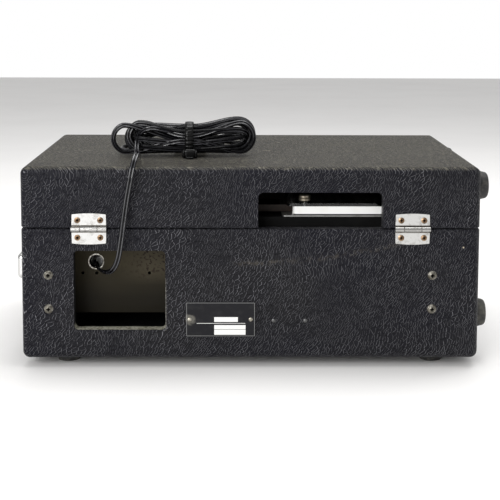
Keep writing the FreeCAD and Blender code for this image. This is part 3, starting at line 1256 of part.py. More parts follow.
def selector_switch():
    """The rotary switch: an indexing head and two wafers on spacers, with its bush and nut."""
    place = MODE_KNOB_AT
    depth = -PANEL_SHEET
    head = depth - SWITCH_HEAD_DEPTH
    last = depth - max(WAFER_DEPTHS)
    pieces = [panel_block(place, SWITCH_HEAD, SWITCH_HEAD, depth, head),
              panel_rod(BUSH_RADIUS, place, depth, NUT_HEIGHT + BUSH_PROUD),
              hex_nut(place, NUT_ACROSS, NUT_HEIGHT), panel_rod(BUSH_RADIUS, place, last + WAFER_SHEET, head)]
    for back in WAFER_DEPTHS:
        pieces.append(panel_rod(WAFER_RADIUS, place, depth - back, depth - back + WAFER_SHEET))
    for side in (-1, 1):
        spacer = (place[0] + side * SPACER_REACH, place[1])
        pieces.append(panel_rod(SPACER_RADIUS, spacer, last, head))
    body = joined(pieces)
    return body.cut(panel_rod(SHAFT_RADIUS + FIT, place, depth - POT_DEPTH + 1, NUT_HEIGHT + 1))


def jack_socket(place):
    """A jack: ring nut and bush with a bore in front, body behind the panel."""
    body = panel_block(place, JACK_BODY, JACK_BODY, -PANEL_SHEET, -PANEL_SHEET - JACK_BODY_DEPTH)
    bush = panel_rod(JACK_BUSH_RADIUS, place, -PANEL_SHEET, NUT_HEIGHT + 1)
    nut = panel_rod(JACK_NUT_RADIUS, place, 0, NUT_HEIGHT)
    nut = soften(nut, 0.6, lambda box: abs(box.YMin - PANEL_FACE + NUT_HEIGHT) < 0.01 and box.YLength < 0.01)
    bore = panel_rod(JACK_BORE_RADIUS, place, -PANEL_SHEET - JACK_BODY_DEPTH + 3, NUT_HEIGHT + 2)
    return joined([body, bush, nut]).cut(bore)


def jack_sockets():
    return group([jack_socket(place) for place in JACKS.values()])


def switch_bodies():
    """The toggle switch's body with its bush, and the slide switch's channel."""
    width, height, depth = TOGGLE_BODY
    toggle = joined([panel_block(TOGGLE_AT, width, height, -PANEL_SHEET, -PANEL_SHEET - depth),
                     panel_rod(TOGGLE_BUSH_RADIUS, TOGGLE_AT, -PANEL_SHEET, NUT_HEIGHT + TOGGLE_BUSH_PROUD),
                     panel_rod(TOGGLE_BUSH_RADIUS + TOGGLE_NUT, TOGGLE_AT, 0, NUT_HEIGHT)])
    toggle = toggle.cut(panel_rod(TOGGLE_BORE_RADIUS, TOGGLE_AT, -PANEL_SHEET - TOGGLE_NECK,
                                  NUT_HEIGHT + TOGGLE_BUSH_PROUD + 1))
    channel = panel_block(SLIDER_AT, SLIDER_BASE + SLIDER_TRAVEL + 2 * CHANNEL_WALL,
                          SLIDER_BASE_HEIGHT + 2 * CHANNEL_WALL, -PANEL_SHEET,
                          -PANEL_SHEET - SLIDER_BASE_DEPTH - CHANNEL_WALL)
    room = panel_block(SLIDER_AT, SLIDER_BASE + SLIDER_TRAVEL + 1, SLIDER_BASE_HEIGHT + 2 * SEAT,
                       -PANEL_SHEET + 1, -PANEL_SHEET - SLIDER_BASE_DEPTH - SEAT)
    return group([toggle, channel.cut(room)])


def power_toggle():
    """A bat lever on its pivot pin, leaning down at rest."""
    pivot = panel_point(TOGGLE_AT, -PANEL_SHEET)
    lean = math.radians(TOGGLE_THROW_ANGLE / 2)
    out = Vec(0, -math.cos(lean), -math.sin(lean))
    neck = pivot + out * TOGGLE_NECK
    tip = pivot + out * TOGGLE_LENGTH
    ball = Part.makeSphere(TOGGLE_TIP_RADIUS, tip)
    half_pin = Vec(TOGGLE_BORE_RADIUS - TOGGLE_PIN_GAP, 0, 0)
    pin = rod(TOGGLE_PIN_RADIUS, pivot - half_pin, pivot + half_pin)
    stem = rod(TOGGLE_NECK_RADIUS, pivot - out * TOGGLE_NECK / 3, neck)
    return joined([stem, taper(TOGGLE_NECK_RADIUS, TOGGLE_TIP_RADIUS, neck, tip), ball, pin])


def level_slider():
    """The slide switch's button: a base in the channel and a grip through the panel's slot."""
    base = panel_block(SLIDER_AT, SLIDER_BASE, SLIDER_BASE_HEIGHT, -PANEL_SHEET - SEAT,
                       -PANEL_SHEET - SLIDER_BASE_DEPTH)
    grip = panel_block(SLIDER_AT, SLIDER_WIDTH, SLIDER_THICKNESS, SLIDER_HEIGHT, -PANEL_SHEET - SEAT)
    return joined([base, grip])


def meter_case():
    """The level meter's case: a bezel on the panel, a body behind it and a hollow with a scale floor."""
    bezel = panel_block(METER_AT, METER_WIDTH, METER_HEIGHT, 0, METER_BEZEL)
    bezel = soften(bezel, 1.5, lambda box: box.YLength < 0.01
                   and abs(box.YMin - PANEL_FACE + METER_BEZEL) < 0.01)
    body = panel_block(METER_AT, METER_BODY_WIDTH, METER_BODY_HEIGHT, 0, -METER_DEPTH)
    room = panel_block(METER_AT, METER_ROOM_WIDTH, METER_ROOM_HEIGHT, METER_BEZEL + 1, -METER_FLOOR)
    pivot = (METER_AT[0], METER_AT[1] - METER_PIVOT_DROP)
    bore = panel_rod(NEEDLE_PIN_RADIUS + FIT, pivot, -METER_FLOOR - 4, -METER_FLOOR + 1)
    return joined([bezel, body]).cut([room, bore])


def meter_glass():
    return panel_block(METER_AT, METER_ROOM_WIDTH - 2 * FIT, METER_ROOM_HEIGHT - 2 * FIT,
                       METER_BEZEL - METER_GLASS - METER_GLASS_SET_BACK,
                       METER_BEZEL - METER_GLASS_SET_BACK)


def meter_needle():
    """The pointer: a hub with its pin in the case and a thin blade, leaning left at rest."""
    pivot = (METER_AT[0], METER_AT[1] - METER_PIVOT_DROP)
    floor = -METER_FLOOR
    hub = panel_rod(NEEDLE_HUB_RADIUS, pivot, floor + SEAT, floor + SEAT + 2)
    pin = panel_rod(NEEDLE_PIN_RADIUS, pivot, floor - 3.5, floor + SEAT)
    y0 = PANEL_FACE - (floor + SEAT + 1 + NEEDLE_SHEET)
    centre = panel_point(pivot)
    blade = block(-NEEDLE_WIDTH / 2, NEEDLE_WIDTH / 2, y0, y0 + NEEDLE_SHEET, 0, NEEDLE_LENGTH)
    blade.rotate(Vec(0, 0, 0), Vec(0, 1, 0), -NEEDLE_SWING_ANGLE / 2)
    blade.translate(Vec(centre.x, 0, centre.z))
    return joined([hub, pin, blade])


def panel_lamps():
    """Domed lamps through the panel."""
    lamps = []
    for place in LAMPS.values():
        dome = Part.makeSphere(LAMP_RADIUS, panel_point(place, 1.0))
        lamps.append(joined([panel_rod(LAMP_RADIUS, place, -PANEL_SHEET - 8, 1.0), dome]))
    return group(lamps)


def knob(place, radius, skirt_radius, height, sweep):
    """A fluted knob on its shaft, its pointer groove turned to the start of its sweep."""
    h0 = KNOB_STANDOFF
    h1 = h0 + KNOB_SKIRT
    h2 = h0 + height
    bottom = -PANEL_SHEET - POT_DEPTH + 1.5
    profile = [(0, bottom), (SHAFT_RADIUS, bottom), (SHAFT_RADIUS, h0), (skirt_radius, h0),
               (skirt_radius, h0 + KNOB_SKIRT * 0.5), (skirt_radius - 1.5, h1), (radius, h1 + 0.6),
               (radius - 0.8, h2 - 1.2), (radius - 2.0, h2), (0, h2)]
    body = turned(profile, Vec(0, 0, 0), Vec(0, 0, 1))
    flutes = []
    for k in range(KNOB_FLUTES):
        angle = 2 * math.pi * (k + 0.5) / KNOB_FLUTES
        reach = radius + KNOB_FLUTE_RADIUS * 0.45
        foot = Vec(reach * math.cos(angle), reach * math.sin(angle), h1 + 1.2)
        flutes.append(rod(KNOB_FLUTE_RADIUS, foot, foot + Vec(0, 0, height)))
    groove = block(-0.6, 0.6, radius * 0.35, skirt_radius + 1, h2 - 0.6, h2 + 1)
    body = body.cut(flutes + [groove])
    body.rotate(Vec(0, 0, 0), Vec(1, 0, 0), 90)
    body.rotate(Vec(0, 0, 0), Vec(0, 1, 0), -sweep / 2)
    body.translate(panel_point(place))
    return body


def small_knob(place):
    return knob(place, KNOB_RADIUS, KNOB_SKIRT_RADIUS, KNOB_HEIGHT, KNOB_TURN_ANGLE)


def mode_knob():
    return knob(MODE_KNOB_AT, MODE_KNOB_RADIUS, MODE_SKIRT_RADIUS, MODE_KNOB_HEIGHT,
                MODE_STEP_ANGLE * (MODE_POSITIONS - 1))


# ---------------------------------------------------------------- mains cord
def smooth_path(points):
    """Straight runs joined by tangent arcs; each arc takes a share of its shorter run."""
    edges = []
    here = points[0]
    length = 0.0
    radii = []
    for before, corner, after in zip(points, points[1:], points[2:]):
        inward = corner - before
        outward = after - corner
        turn = inward.getAngle(outward)
        reach = CORD_ARC_SHARE * min(inward.Length, outward.Length)
        radius = reach / math.tan(turn / 2)
        start = corner - inward.normalize() * reach
        end = corner + outward.normalize() * reach
        to_middle = (start + end) * 0.5 - corner
        drop = radius * (1 / math.cos(turn / 2) - 1)
        middle = corner + to_middle.normalize() * drop
        edges.append(Part.makeLine(here, start))
        edges.append(Part.Arc(start, middle, end).toShape())
        radii.append(radius)
        here = end
    edges.append(Part.makeLine(here, points[-1]))
    return Part.Wire(edges), radii


def cord_tube():
    """The free stretch of the cord as a round tube; its radii and volume are printed."""
    path, radii = smooth_path(CORD_ROUTE)
    start = CORD_ROUTE[0]
    ring = Part.Wire(Part.makeCircle(CORD_DIAMETER / 2, start, CORD_ROUTE[1] - start))
    tube = path.makePipeShell([ring], True, True)
    section = math.pi * (CORD_DIAMETER / 2) ** 2
    print("cord radii", [round(radius, 1) for radius in radii])
    print("cord length", round(path.Length, 1), "volume over section times length",
          round(tube.Volume / (section * path.Length), 4))
    return tube


def hank_ring(section, grow=0.0):
    """The hank's oval outline at one place along it."""
    offset, half_depth, low, high = section
    centre = Vec(HANK_MIDDLE_X + offset, HANK_MIDDLE_Y, CASE_TOP + SEAT + (low + high) / 2)
    half_height = (high - low) / 2 + grow
    half_depth += grow
    if half_depth >= half_height:
        oval = Part.Ellipse(centre + Vec(0, half_depth, 0), centre + Vec(0, 0, half_height), centre)
    else:
        oval = Part.Ellipse(centre + Vec(0, 0, half_height), centre - Vec(0, half_depth, 0), centre)
    return Part.Wire(oval.toShape())


def cord_hank():
    """The outer shape of the folded and tied cord."""
    return Part.makeLoft([hank_ring(section) for section in HANK_SECTIONS], True, False)


def cord_riser():
    return cord_tube().cut(cord_hank())


def cord_tie():
    """The strap round the hank's waist, with its buckle lying on the lid."""
    outline = hank_ring((-TIE_WIDTH / 2,) + TIE_SECTION[1:], TIE_THICKNESS)
    ring = Part.Face(outline).extrude(Vec(TIE_WIDTH, 0, 0))
    y0 = HANK_MIDDLE_Y + TIE_SECTION[1] * 0.6
    z0 = CASE_TOP + SEAT
    buckle = block(HANK_MIDDLE_X - BUCKLE_WIDTH / 2, HANK_MIDDLE_X + BUCKLE_WIDTH / 2,
                   HANK_MIDDLE_Y + TIE_SECTION[1] + TIE_THICKNESS - 1,
                   HANK_MIDDLE_Y + TIE_SECTION[1] + BUCKLE_DEPTH, z0, z0 + BUCKLE_HEIGHT)
    buckle = soften(buckle, 1.5, lambda box: box.YLength > 2)
    arm = block(HANK_MIDDLE_X - TIE_WIDTH / 2, HANK_MIDDLE_X + TIE_WIDTH / 2, y0,
                HANK_MIDDLE_Y + TIE_SECTION[1] + BUCKLE_DEPTH / 2, z0 + 0.6, z0 + BUCKLE_HEIGHT - 1)
    strap = joined([ring, buckle, arm]).cut(cord_hank())
    return max(strap.Solids, key=lambda solid: solid.Volume)


def mains_plug():
    """A moulded two-pin plug that lies behind the hank."""
    y = HANK_MIDDLE_Y - max(section[1] for section in HANK_SECTIONS) - PLUG_GAP - PLUG_WIDTH / 2
    z0 = CASE_TOP + SEAT
    x0 = HANK_MIDDLE_X - PLUG_LENGTH / 2
    x1 = HANK_MIDDLE_X + PLUG_LENGTH / 2
    z = z0 + PLUG_HEIGHT / 2
    body = block(x0, x1, y - PLUG_WIDTH / 2, y + PLUG_WIDTH / 2, z0, z0 + PLUG_HEIGHT)
    body = soften(body, 4.0, lambda box: box.XLength > 1)
    tail = taper(PLUG_HEIGHT * 0.4, CORD_DIAMETER * 0.7, Vec(x1 - 1, y, z), Vec(x1 + PLUG_TAIL, y, z))
    prongs = []
    for prong_y in (y - PRONG_SPACING / 2, y + PRONG_SPACING / 2):
        prongs.append(block(x0 - PRONG_LENGTH, x0 + 1, prong_y - PRONG_SHEET / 2, prong_y + PRONG_SHEET / 2,
                            z - PRONG_WIDTH / 2, z + PRONG_WIDTH / 2))
    return joined([body, tail] + prongs)


# ---------------------------------------------------------------- all the pieces
NODES = {
    "base_cabinet": base_cabinet,
    "lid_shell": lid_shell,
    "chassis": chassis,
    "front_panel": front_panel,
    "deck_plate": deck_plate,
    "bottom_feet": bottom_feet,
    "base_side_feet": lambda: side_feet(CASE_Z + SIDE_FOOT_RISE),
    "lid_side_feet": lambda: side_feet(CASE_TOP - SIDE_FOOT_DROP),
    "hinge_base_leaves": lambda: hinge_leaves(-1),
    "hinge_lid_leaves": lambda: hinge_leaves(1),
    "hinge_pins": hinge_pins,
    "hinge_base_screws": lambda: hinge_screws(-1),
    "hinge_lid_screws": lambda: hinge_screws(1),
    "data_plate": data_plate,
    "rear_rivets": rear_rivets,
    "chassis_screws": chassis_screws,
    "cord_grommet": cord_grommet,
    "handle_strap": handle_strap,
    "handle_caps": handle_caps,
    "tank_plate": tank_plate,
    "tape_tank": tape_tank,
    "tank_cover": tank_cover,
    "cover_screws": cover_screws,
    "head_plate": head_plate,
    "tape_heads": tape_heads,
    "tape_loop": tape_loop,
    "capstan": capstan,
    "flywheel_bridge": flywheel_bridge,
    "drive_belt": drive_belt,
    "motor": motor,
    "motor_pulley": motor_pulley,
    "pinch_arm": pinch_arm,
    "pinch_roller": pinch_roller,
    "tension_arm": tension_arm,
    "power_transformer": power_transformer,
    "main_board": main_board,
    "reverb_pan": reverb_pan,
    "potentiometers": potentiometers,
    "selector_switch": selector_switch,
    "jack_sockets": jack_sockets,
    "switch_bodies": switch_bodies,
    "power_toggle": power_toggle,
    "level_slider": level_slider,
    "meter_case": meter_case,
    "meter_glass": meter_glass,
    "meter_needle": meter_needle,
    "panel_lamps": panel_lamps,
    "mode_knob": mode_knob,
    "cord_riser": cord_riser,
    "cord_hank": cord_hank,
    "cord_tie": cord_tie,
    "mains_plug": mains_plug,
}


def build():
    """Every node's shape, moved into the unit's own frame."""
    shapes = {name: make() for name, make in NODES.items()}
    for name, place in SMALL_KNOBS.items():
        shapes[name] = small_knob(place)
    for shape in shapes.values():
        shape.translate(SHIFT)
    return shapes


def main():
    os.makedirs("parts", exist_ok=True)
    for name, shape in build().items():
        shape.exportStep(os.path.join("parts", name + ".step"))
        print(name, len(shape.Solids), round(shape.Volume, 1))


if __name__ == "__main__":
    main()
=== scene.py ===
# %% [markdown]
# # A tape echo unit, dressed in Blender
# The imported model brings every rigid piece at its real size. This script gives each one its finish and
# makes what a solid modeller is poor at: the flat mains cord with its loose hank, the ribbed tie, the
# carrying strap, the printed marks and the meter's card. It starts by loading the model and keeping its size.

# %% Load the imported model
import json
import math

import bmesh
import bpy
import numpy as np
from mathutils import Matrix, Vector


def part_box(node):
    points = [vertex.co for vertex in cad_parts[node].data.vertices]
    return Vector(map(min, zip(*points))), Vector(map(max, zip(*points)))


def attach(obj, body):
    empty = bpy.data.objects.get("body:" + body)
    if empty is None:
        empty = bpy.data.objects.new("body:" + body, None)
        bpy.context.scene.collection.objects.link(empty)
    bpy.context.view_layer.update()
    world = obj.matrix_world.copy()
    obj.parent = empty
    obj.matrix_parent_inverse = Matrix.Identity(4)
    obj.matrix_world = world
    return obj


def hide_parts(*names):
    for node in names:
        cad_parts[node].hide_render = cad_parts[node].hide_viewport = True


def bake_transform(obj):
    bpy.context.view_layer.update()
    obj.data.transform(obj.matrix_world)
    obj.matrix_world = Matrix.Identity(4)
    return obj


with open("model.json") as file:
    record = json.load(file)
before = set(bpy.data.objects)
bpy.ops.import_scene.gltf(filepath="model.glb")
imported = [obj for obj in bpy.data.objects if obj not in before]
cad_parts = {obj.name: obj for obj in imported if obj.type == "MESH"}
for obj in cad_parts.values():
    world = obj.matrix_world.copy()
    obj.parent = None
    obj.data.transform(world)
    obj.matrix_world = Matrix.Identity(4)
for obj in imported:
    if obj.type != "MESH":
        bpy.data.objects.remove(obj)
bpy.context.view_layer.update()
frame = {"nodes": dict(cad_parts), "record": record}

NODES = frame["nodes"]
MM = 0.001
# Camera and cord are placed from the case's own middle, which lies 2.75 mm nearer the front than the frame's.
SHIFT = np.array([0.0, -2.75, 0.0])


def box_of(node):
    """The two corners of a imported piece's box, in millimetres."""
    return [np.array(corner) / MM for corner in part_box(node)]


# %% [markdown]
# ## Camera
# Seen from high up, the upright edges of a box lean together. An architect's view camera avoids most of
# that: it tips down only a little, and a shift of the sensor moves the picture the rest of the way. This
# one stands behind the unit, a little above it, and tips down by six degrees.

# %% Camera
FOCAL_PIXELS = 1214.95
PICTURE_PIXELS = 500
SENSOR_MM = 36.0
CAMERA_PLACE = np.array([14.71, 1208.65, 331.28]) + SHIFT
CAMERA_YAW = 0.0126
CAMERA_PITCH = 0.1042
CAMERA_ROLL = 0.0033
CAMERA_SHIFT = -122.6 / PICTURE_PIXELS


def turned_pair(first, second, angle):
    """Both vectors turned by an angle in their own plane, the first one towards the second."""
    return (first * math.cos(angle) + second * math.sin(angle),
            second * math.cos(angle) - first * math.sin(angle))


def camera_axes():
    """Right, up and back of the camera, after its yaw, pitch and roll."""
    forward, right, up = np.array([0.0, -1, 0]), np.array([-1.0, 0, 0]), np.array([0.0, 0, 1])
    forward, right = turned_pair(forward, right, CAMERA_YAW)
    forward, down = turned_pair(forward, -up, CAMERA_PITCH)
    right, up = turned_pair(right, -down, CAMERA_ROLL)
    return right, up, -forward


def stand(name, data, right, up, back, place):
    """Puts a camera or a lamp in the scene at a place in metres; it looks against its back direction."""
    holder = bpy.data.objects.new(name, data)
    columns = [right, up, back, place]
    holder.matrix_world = Matrix([[column[row] for column in columns] for row in range(3)] + [[0, 0, 0, 1]])
    bpy.context.scene.collection.objects.link(holder)
    return holder


camera = bpy.data.cameras.new("view_camera")
camera.sensor_width = SENSOR_MM
camera.lens = FOCAL_PIXELS * SENSOR_MM / PICTURE_PIXELS
camera.shift_y = CAMERA_SHIFT
camera.clip_end = 50.0
bpy.context.scene.camera = stand("view_camera", camera, *camera_axes(), CAMERA_PLACE * MM)
print("lens in mm", round(camera.lens, 2), "shift", camera.shift_y)

# %% [markdown]
# ## Meshes from grids
# Most new pieces are a grid of points: one direction runs along a path, the other round a section. The
# points are worked out as one array, and the faces join each point to its neighbours. Every shape here is a
# pair of points, in millimetres, and faces, and several such pairs can be joined into one piece.

# %% Grid helpers
def unit(vectors):
    """Each vector divided by its length."""
    return vectors / np.linalg.norm(vectors, axis=-1, keepdims=True)


def turn_steps(count, offset=0.0):
    """Angles once round, evenly spaced; the offset is a share of a step."""
    return 2 * np.pi * (np.arange(count) + offset) / count


def grid_faces(rows, columns, wrap_rows=False, wrap_columns=False):
    """Four-sided faces between neighbours of a grid; a wrapped direction also joins its last to its first."""
    row, column = np.meshgrid(np.arange(rows if wrap_rows else rows - 1),
                              np.arange(columns if wrap_columns else columns - 1), indexing="ij")
    next_row, next_column = (row + 1) % rows, (column + 1) % columns
    corners = [row * columns + column, row * columns + next_column,
               next_row * columns + next_column, next_row * columns + column]
    return np.stack(corners, axis=-1).reshape(-1, 4).tolist()


def tube_faces(rows, columns):
    """The faces of a tube of closed rings, with a flat cap at each end."""
    last = (rows - 1) * columns
    return grid_faces(rows, columns, wrap_columns=True) + [list(range(columns))[::-1],
                                                           list(range(last, last + columns))]


def new_piece(name, shapes, material, smooth=True):
    """One object at the origin from several (points, faces) pairs, with every face turned outwards."""
    points, faces, start = [], [], 0
    for shape_points, shape_faces in shapes:
        points.append(np.asarray(shape_points).reshape(-1, 3))
        faces += [[start + v for v in face] for face in shape_faces]
        start += len(points[-1])
    mesh = bpy.data.meshes.new(name)
    mesh.from_pydata((np.vstack(points) * MM).tolist(), [], faces)
    work = bmesh.new()
    work.from_mesh(mesh)
    bmesh.ops.recalc_face_normals(work, faces=work.faces)
    work.to_mesh(mesh)
    work.free()
    mesh.polygons.foreach_set("use_smooth", np.full(len(mesh.polygons), smooth))
    mesh.materials.append(material)
    piece = bpy.data.objects.new(name, mesh)
    bpy.context.scene.collection.objects.link(piece)
    return piece


def made_mesh(curve):
    """The points and faces of the mesh that Blender makes from a curve or a text."""
    holder = bpy.data.objects.new(curve.name, curve)
    bpy.context.scene.collection.objects.link(holder)
    mesh = bpy.data.meshes.new_from_object(holder)
    points = np.empty(len(mesh.vertices) * 3)
    mesh.vertices.foreach_get("co", points)
    bpy.data.objects.remove(holder)
    return points.reshape(-1, 3), [list(face.vertices) for face in mesh.polygons]


def set_grid_uv(piece, columns, u_of_column, v_of_row):
    """A UV map for a grid of points, from one value for each column and one for each row."""
    mesh = piece.data
    index = np.empty(len(mesh.loops), int)
    mesh.loops.foreach_get("vertex_index", index)
    uv = np.stack([u_of_column[index % columns], v_of_row[index // columns]], axis=-1)
    mesh.uv_layers.new(name="along").data.foreach_set("uv", uv.astype(np.float32).ravel())


# %% [markdown]
# ## Materials
# Every finish is a small node tree. Patterns read Object coordinates, in metres, so their scale is that of
# the real surface: a grain of two millimetres is a noise of scale 500. A colour or number that is the same
# everywhere is set on the shader itself. A Field stands for one output of a node, so patterns can be added
# and multiplied as numbers are. Each such step is one Math node.

# %% Material helpers
class Field:
    """A number, a colour or a place that varies over a surface: one output in a material's node tree."""

    def __init__(self, material, socket):
        self.material = material
        self.socket = socket

    def maths(self, operation, other=0.0):
        """The output of a Math node with this field and another, or a number."""
        return add_node(self.material, "Math", 0, {"operation": operation}, _0=self, _1=other)

    def __add__(self, other):
        return self.maths("ADD", other)

    def __sub__(self, other):
        return self.maths("SUBTRACT", other)

    def __mul__(self, other):
        return self.maths("MULTIPLY", other)

    def __or__(self, other):
        """The larger of the two: for two masks, where either one is."""
        return self.maths("MAXIMUM", other)

    def __abs__(self):
        return self.maths("ABSOLUTE")


def feed(material, node, name, value):
    """Gives a node's input a Field, a colour or a number; the input is named with underscores."""
    socket = node.inputs[int(name[1:]) if name[1:].isdigit() else name.replace("_", " ")]
    if isinstance(value, Field):
        material.node_tree.links.new(value.socket, socket)
    else:
        socket.default_value = (*value, 1.0) if socket.type == "RGBA" else value


def add_node(material, kind, output, settings=None, **inputs):
    """A new node's output as a Field. Inputs go by name, or by their number after an underscore."""
    node = material.node_tree.nodes.new("ShaderNode" + kind)
    for attribute, value in (settings or {}).items():
        setattr(node, attribute, value)
    for name, value in inputs.items():
        feed(material, node, name, value)
    return Field(material, node.outputs[output])


def feed_shader(material, **inputs):
    """Feeds inputs of the material's Principled shader."""
    for name, value in inputs.items():
        feed(material, material.node_tree.nodes["Principled BSDF"], name, value)
    return material


def new_material(name, **constants):
    """A material with constants on its shader, and the place on the surface that its patterns read."""
    material = bpy.data.materials.new(name)
    material.use_nodes = True
    return add_node(feed_shader(material, **constants), "TexCoord", "Object")


def apart(place):
    """The x, y and z of a place."""
    outputs = add_node(place.material, "SeparateXYZ", 0, Vector=place).socket.node.outputs
    return [Field(place.material, output) for output in outputs]


def noise(place, scale, detail=3.0, rough=0.5):
    """A smooth noise around 0.5; the scale is in waves to the metre."""
    return add_node(place.material, "TexNoise", "Fac", Vector=place, Scale=scale, Detail=detail,
                    Roughness=rough)


def span(value, low, high, to_low=0.0, to_high=1.0):
    """The value's span from low to high spread over another span, and held at its ends."""
    return add_node(value.material, "MapRange", "Result", _0=value, _1=low, _2=high, _3=to_low, _4=to_high)


def between(share, low, high):
    """A number that goes from low to high as the share goes from 0 to 1."""
    return span(share, 0.0, 1.0, low, high)


def mix(share, first, second):
    """The first colour where the share is 0, the second where it is 1."""
    return add_node(share.material, "Mix", 2, {"data_type": "RGBA"}, _0=share, _6=first, _7=second)


def reach(a, b):
    """The distance sqrt(a^2 + b^2)."""
    return (a * a + b * b).maths("SQRT")


def finished(colour, **inputs):
    """The colour's material, with its colour and further fields fed to the shader."""
    return feed_shader(colour.material, Base_Color=colour, **inputs)


def bumps(height, strength, depth):
    """The tilt of the surface under a height that varies from 0 to 1; the depth is in metres."""
    return add_node(height.material, "Bump", "Normal", Height=height, Strength=strength, Distance=depth)

# %% [markdown]
# ## The cord: its line
# The mains cord is a flat twin lead. It leaves the metal bush in the recess, turns up the rear of the case,
# goes over the lid's edge and is wound into a hank of about ten loose turns, held by a tie. Its line is one
# smooth spline. The points before and after the hank are listed. The hank is worked out: each turn
# is a long loop, drawn in at the tie and open at both ends, and no two turns have the same sizes.

# %% Cord route and hank
LID_TOP = 183.0
CORD_WIDTH = 5.0
CORD_THICKNESS = 2.7
CORD_ROUTE = [
    (142.8, 101.2, 90.3), (140.5, 113, 87.2), (133.5, 124.5, 85.2), (124.5, 134.5, 88.6),
    (118.8, 142, 99.5), (116, 144.6, 115), (113.6, 143.4, 134), (110.8, 142.6, 154),
    (107.6, 144.6, 171), (104.8, 143, 186), (102.6, 132, 194.6), (102, 116, 192.6),
    (103.4, 99, 187.6), (106, 82, 188.2), (107.6, 68, 194.4), (107, 55, 203),
]
INTO_HANK = [(101, 46, 209), (90, 43, 211)]
OUT_TO_PLUG = [(108, 53, 187), (119, 49, 187), (125.5, 40, 187.5), (124, 29, 188.5),
               (116, 22, 190), (105, 21, 191), (93, 21, 191.3)]
HANK_MIDDLE = (58, 52)
# One line for each turn. In pairs for its ends on the +X and the -X side: reach, middle height, radius, lean
# and lane of the end loops. Then lane and height at the tie, above and below.
HANK_TURNS = [
    ((52, 58), (16.5, 18.5), (12.5, 13.5), (-10, -10), (-7, -6), (-9, 21), (-7, 8)),
    ((57, 62), (18.5, 20.5), (14.5, 16.5), (0, 5), (-2, -2), (-3.5, 28), (-1, 12.5)),
    ((54, 55), (20, 21.5), (12.5, 12.5), (-76, -74), (1, 0), (-9, 18.5), (10, 13.5)),
    ((60, 60.5), (18, 20), (14.5, 15.5), (-5, 5), (-7, -8), (-8, 25.5), (-8.5, 12)),
    ((73, 62.5), (17.5, 19), (14.5, 15.5), (5, 0), (9.5, 9), (9.5, 20.5), (11, 15.5)),
    ((52, 53), (14, 14.5), (13.8, 13.4), (-72, -74), (1, 0), (-6, 14), (9.5, 7.5)),
    ((58.5, 60), (19.5, 20.5), (13, 15.5), (0, 0), (4, 4), (4, 27), (3.5, 11)),
    ((48, 57), (18, 19), (13, 12.5), (40, 50), (2, 1), (9.5, 24), (-7.5, 15.5)),
    ((60.5, 56), (17.5, 15.5), (14, 12.5), (-10, -50), (3, 1), (1, 22), (6.5, 7.5)),
    ((50, 61.5), (17, 20), (12.5, 16.5), (-5, 0), (1, 1), (0, 17), (1, 4.5)),
]
TIE_STEPS = np.array([12.0, 0.0, -12.0])
END_ANGLES = np.radians([90, 45, 0, -45, -90])
# The last turn ends before its +X loop, where the cord leaves for the plug.
LAST_TURN_POINTS = 12
BEND_STEPS = 6


def hank_turn(reaches, heights, radii, leans, lanes, above, below):
    """One turn of the hank, once round: through the tie's upper part towards -X, round that end, back
    through its lower part, and round the +X end.

    Each end is half a circle of its own radius, leaning: with p going from the top down, it reaches the
    radius times cos p outwards, and the radius times sin p upwards, tilted by the lean about the run.
    """
    def tie_run(lane_and_height, steps):
        return np.column_stack([HANK_MIDDLE[0] + steps, np.full(3, HANK_MIDDLE[1] + lane_and_height[0]),
                                np.full(3, LID_TOP + lane_and_height[1])])

    def end_loop(k, side, angles):
        rise = radii[k] * np.sin(angles)
        lean = math.radians(leans[k])
        return np.column_stack([HANK_MIDDLE[0] + side * (reaches[k] - radii[k] + radii[k] * np.cos(angles)),
                                HANK_MIDDLE[1] + lanes[k] + rise * math.sin(lean),
                                LID_TOP + heights[k] + rise * math.cos(lean)])

    return np.vstack([tie_run(above, TIE_STEPS), end_loop(1, -1, END_ANGLES),
                      tie_run(below, TIE_STEPS[::-1]), end_loop(0, 1, END_ANGLES[::-1])])


def cord_line(points):
    """The line of a smooth spline through the air near its points, read from a curve object."""
    curve = bpy.data.curves.new("cord_line", "CURVE")
    curve.dimensions = "3D"
    curve.resolution_u = 6
    spline = curve.splines.new("NURBS")
    spline.points.add(len(points) - 1)
    spline.points.foreach_set("co", np.column_stack([points * MM, np.ones(len(points))]).ravel())
    spline.order_u = 3
    spline.use_endpoint_u = True
    return made_mesh(curve)[0] / MM


def length_along(path):
    """The length run from the start at each point."""
    return np.concatenate([[0], np.cumsum(np.linalg.norm(np.diff(path, axis=0), axis=1))])


def tightest_bend(path):
    """The smallest radius of a circle through three points 6 mm apart along the path, and where it is."""
    run = length_along(path)
    even = np.arange(0, run[-1], 1.0)
    line = np.stack([np.interp(even, run, path[:, axis]) for axis in range(3)], axis=-1)
    a, b, c = line[:-2 * BEND_STEPS], line[BEND_STEPS:-BEND_STEPS], line[2 * BEND_STEPS:]
    ab, bc, ac = (np.linalg.norm(q - p, axis=1) for p, q in ((a, b), (b, c), (a, c)))
    area = np.linalg.norm(np.cross(b - a, c - a), axis=1) / 2
    radius = ab * bc * ac / np.maximum(4 * area, 1e-6)
    worst = int(radius.argmin())
    return radius[worst].round(1), b[worst].round(1)


turns = [hank_turn(*sizes) for sizes in HANK_TURNS]
turns[-1] = turns[-1][:LAST_TURN_POINTS]
cord_points = np.vstack([CORD_ROUTE, INTO_HANK, *turns, OUT_TO_PLUG]) + SHIFT
cord_path = cord_line(cord_points)
print("cord box", cord_path.min(axis=0).round(1), cord_path.max(axis=0).round(1))
print("tightest bend in mm, and where", *tightest_bend(cord_path))
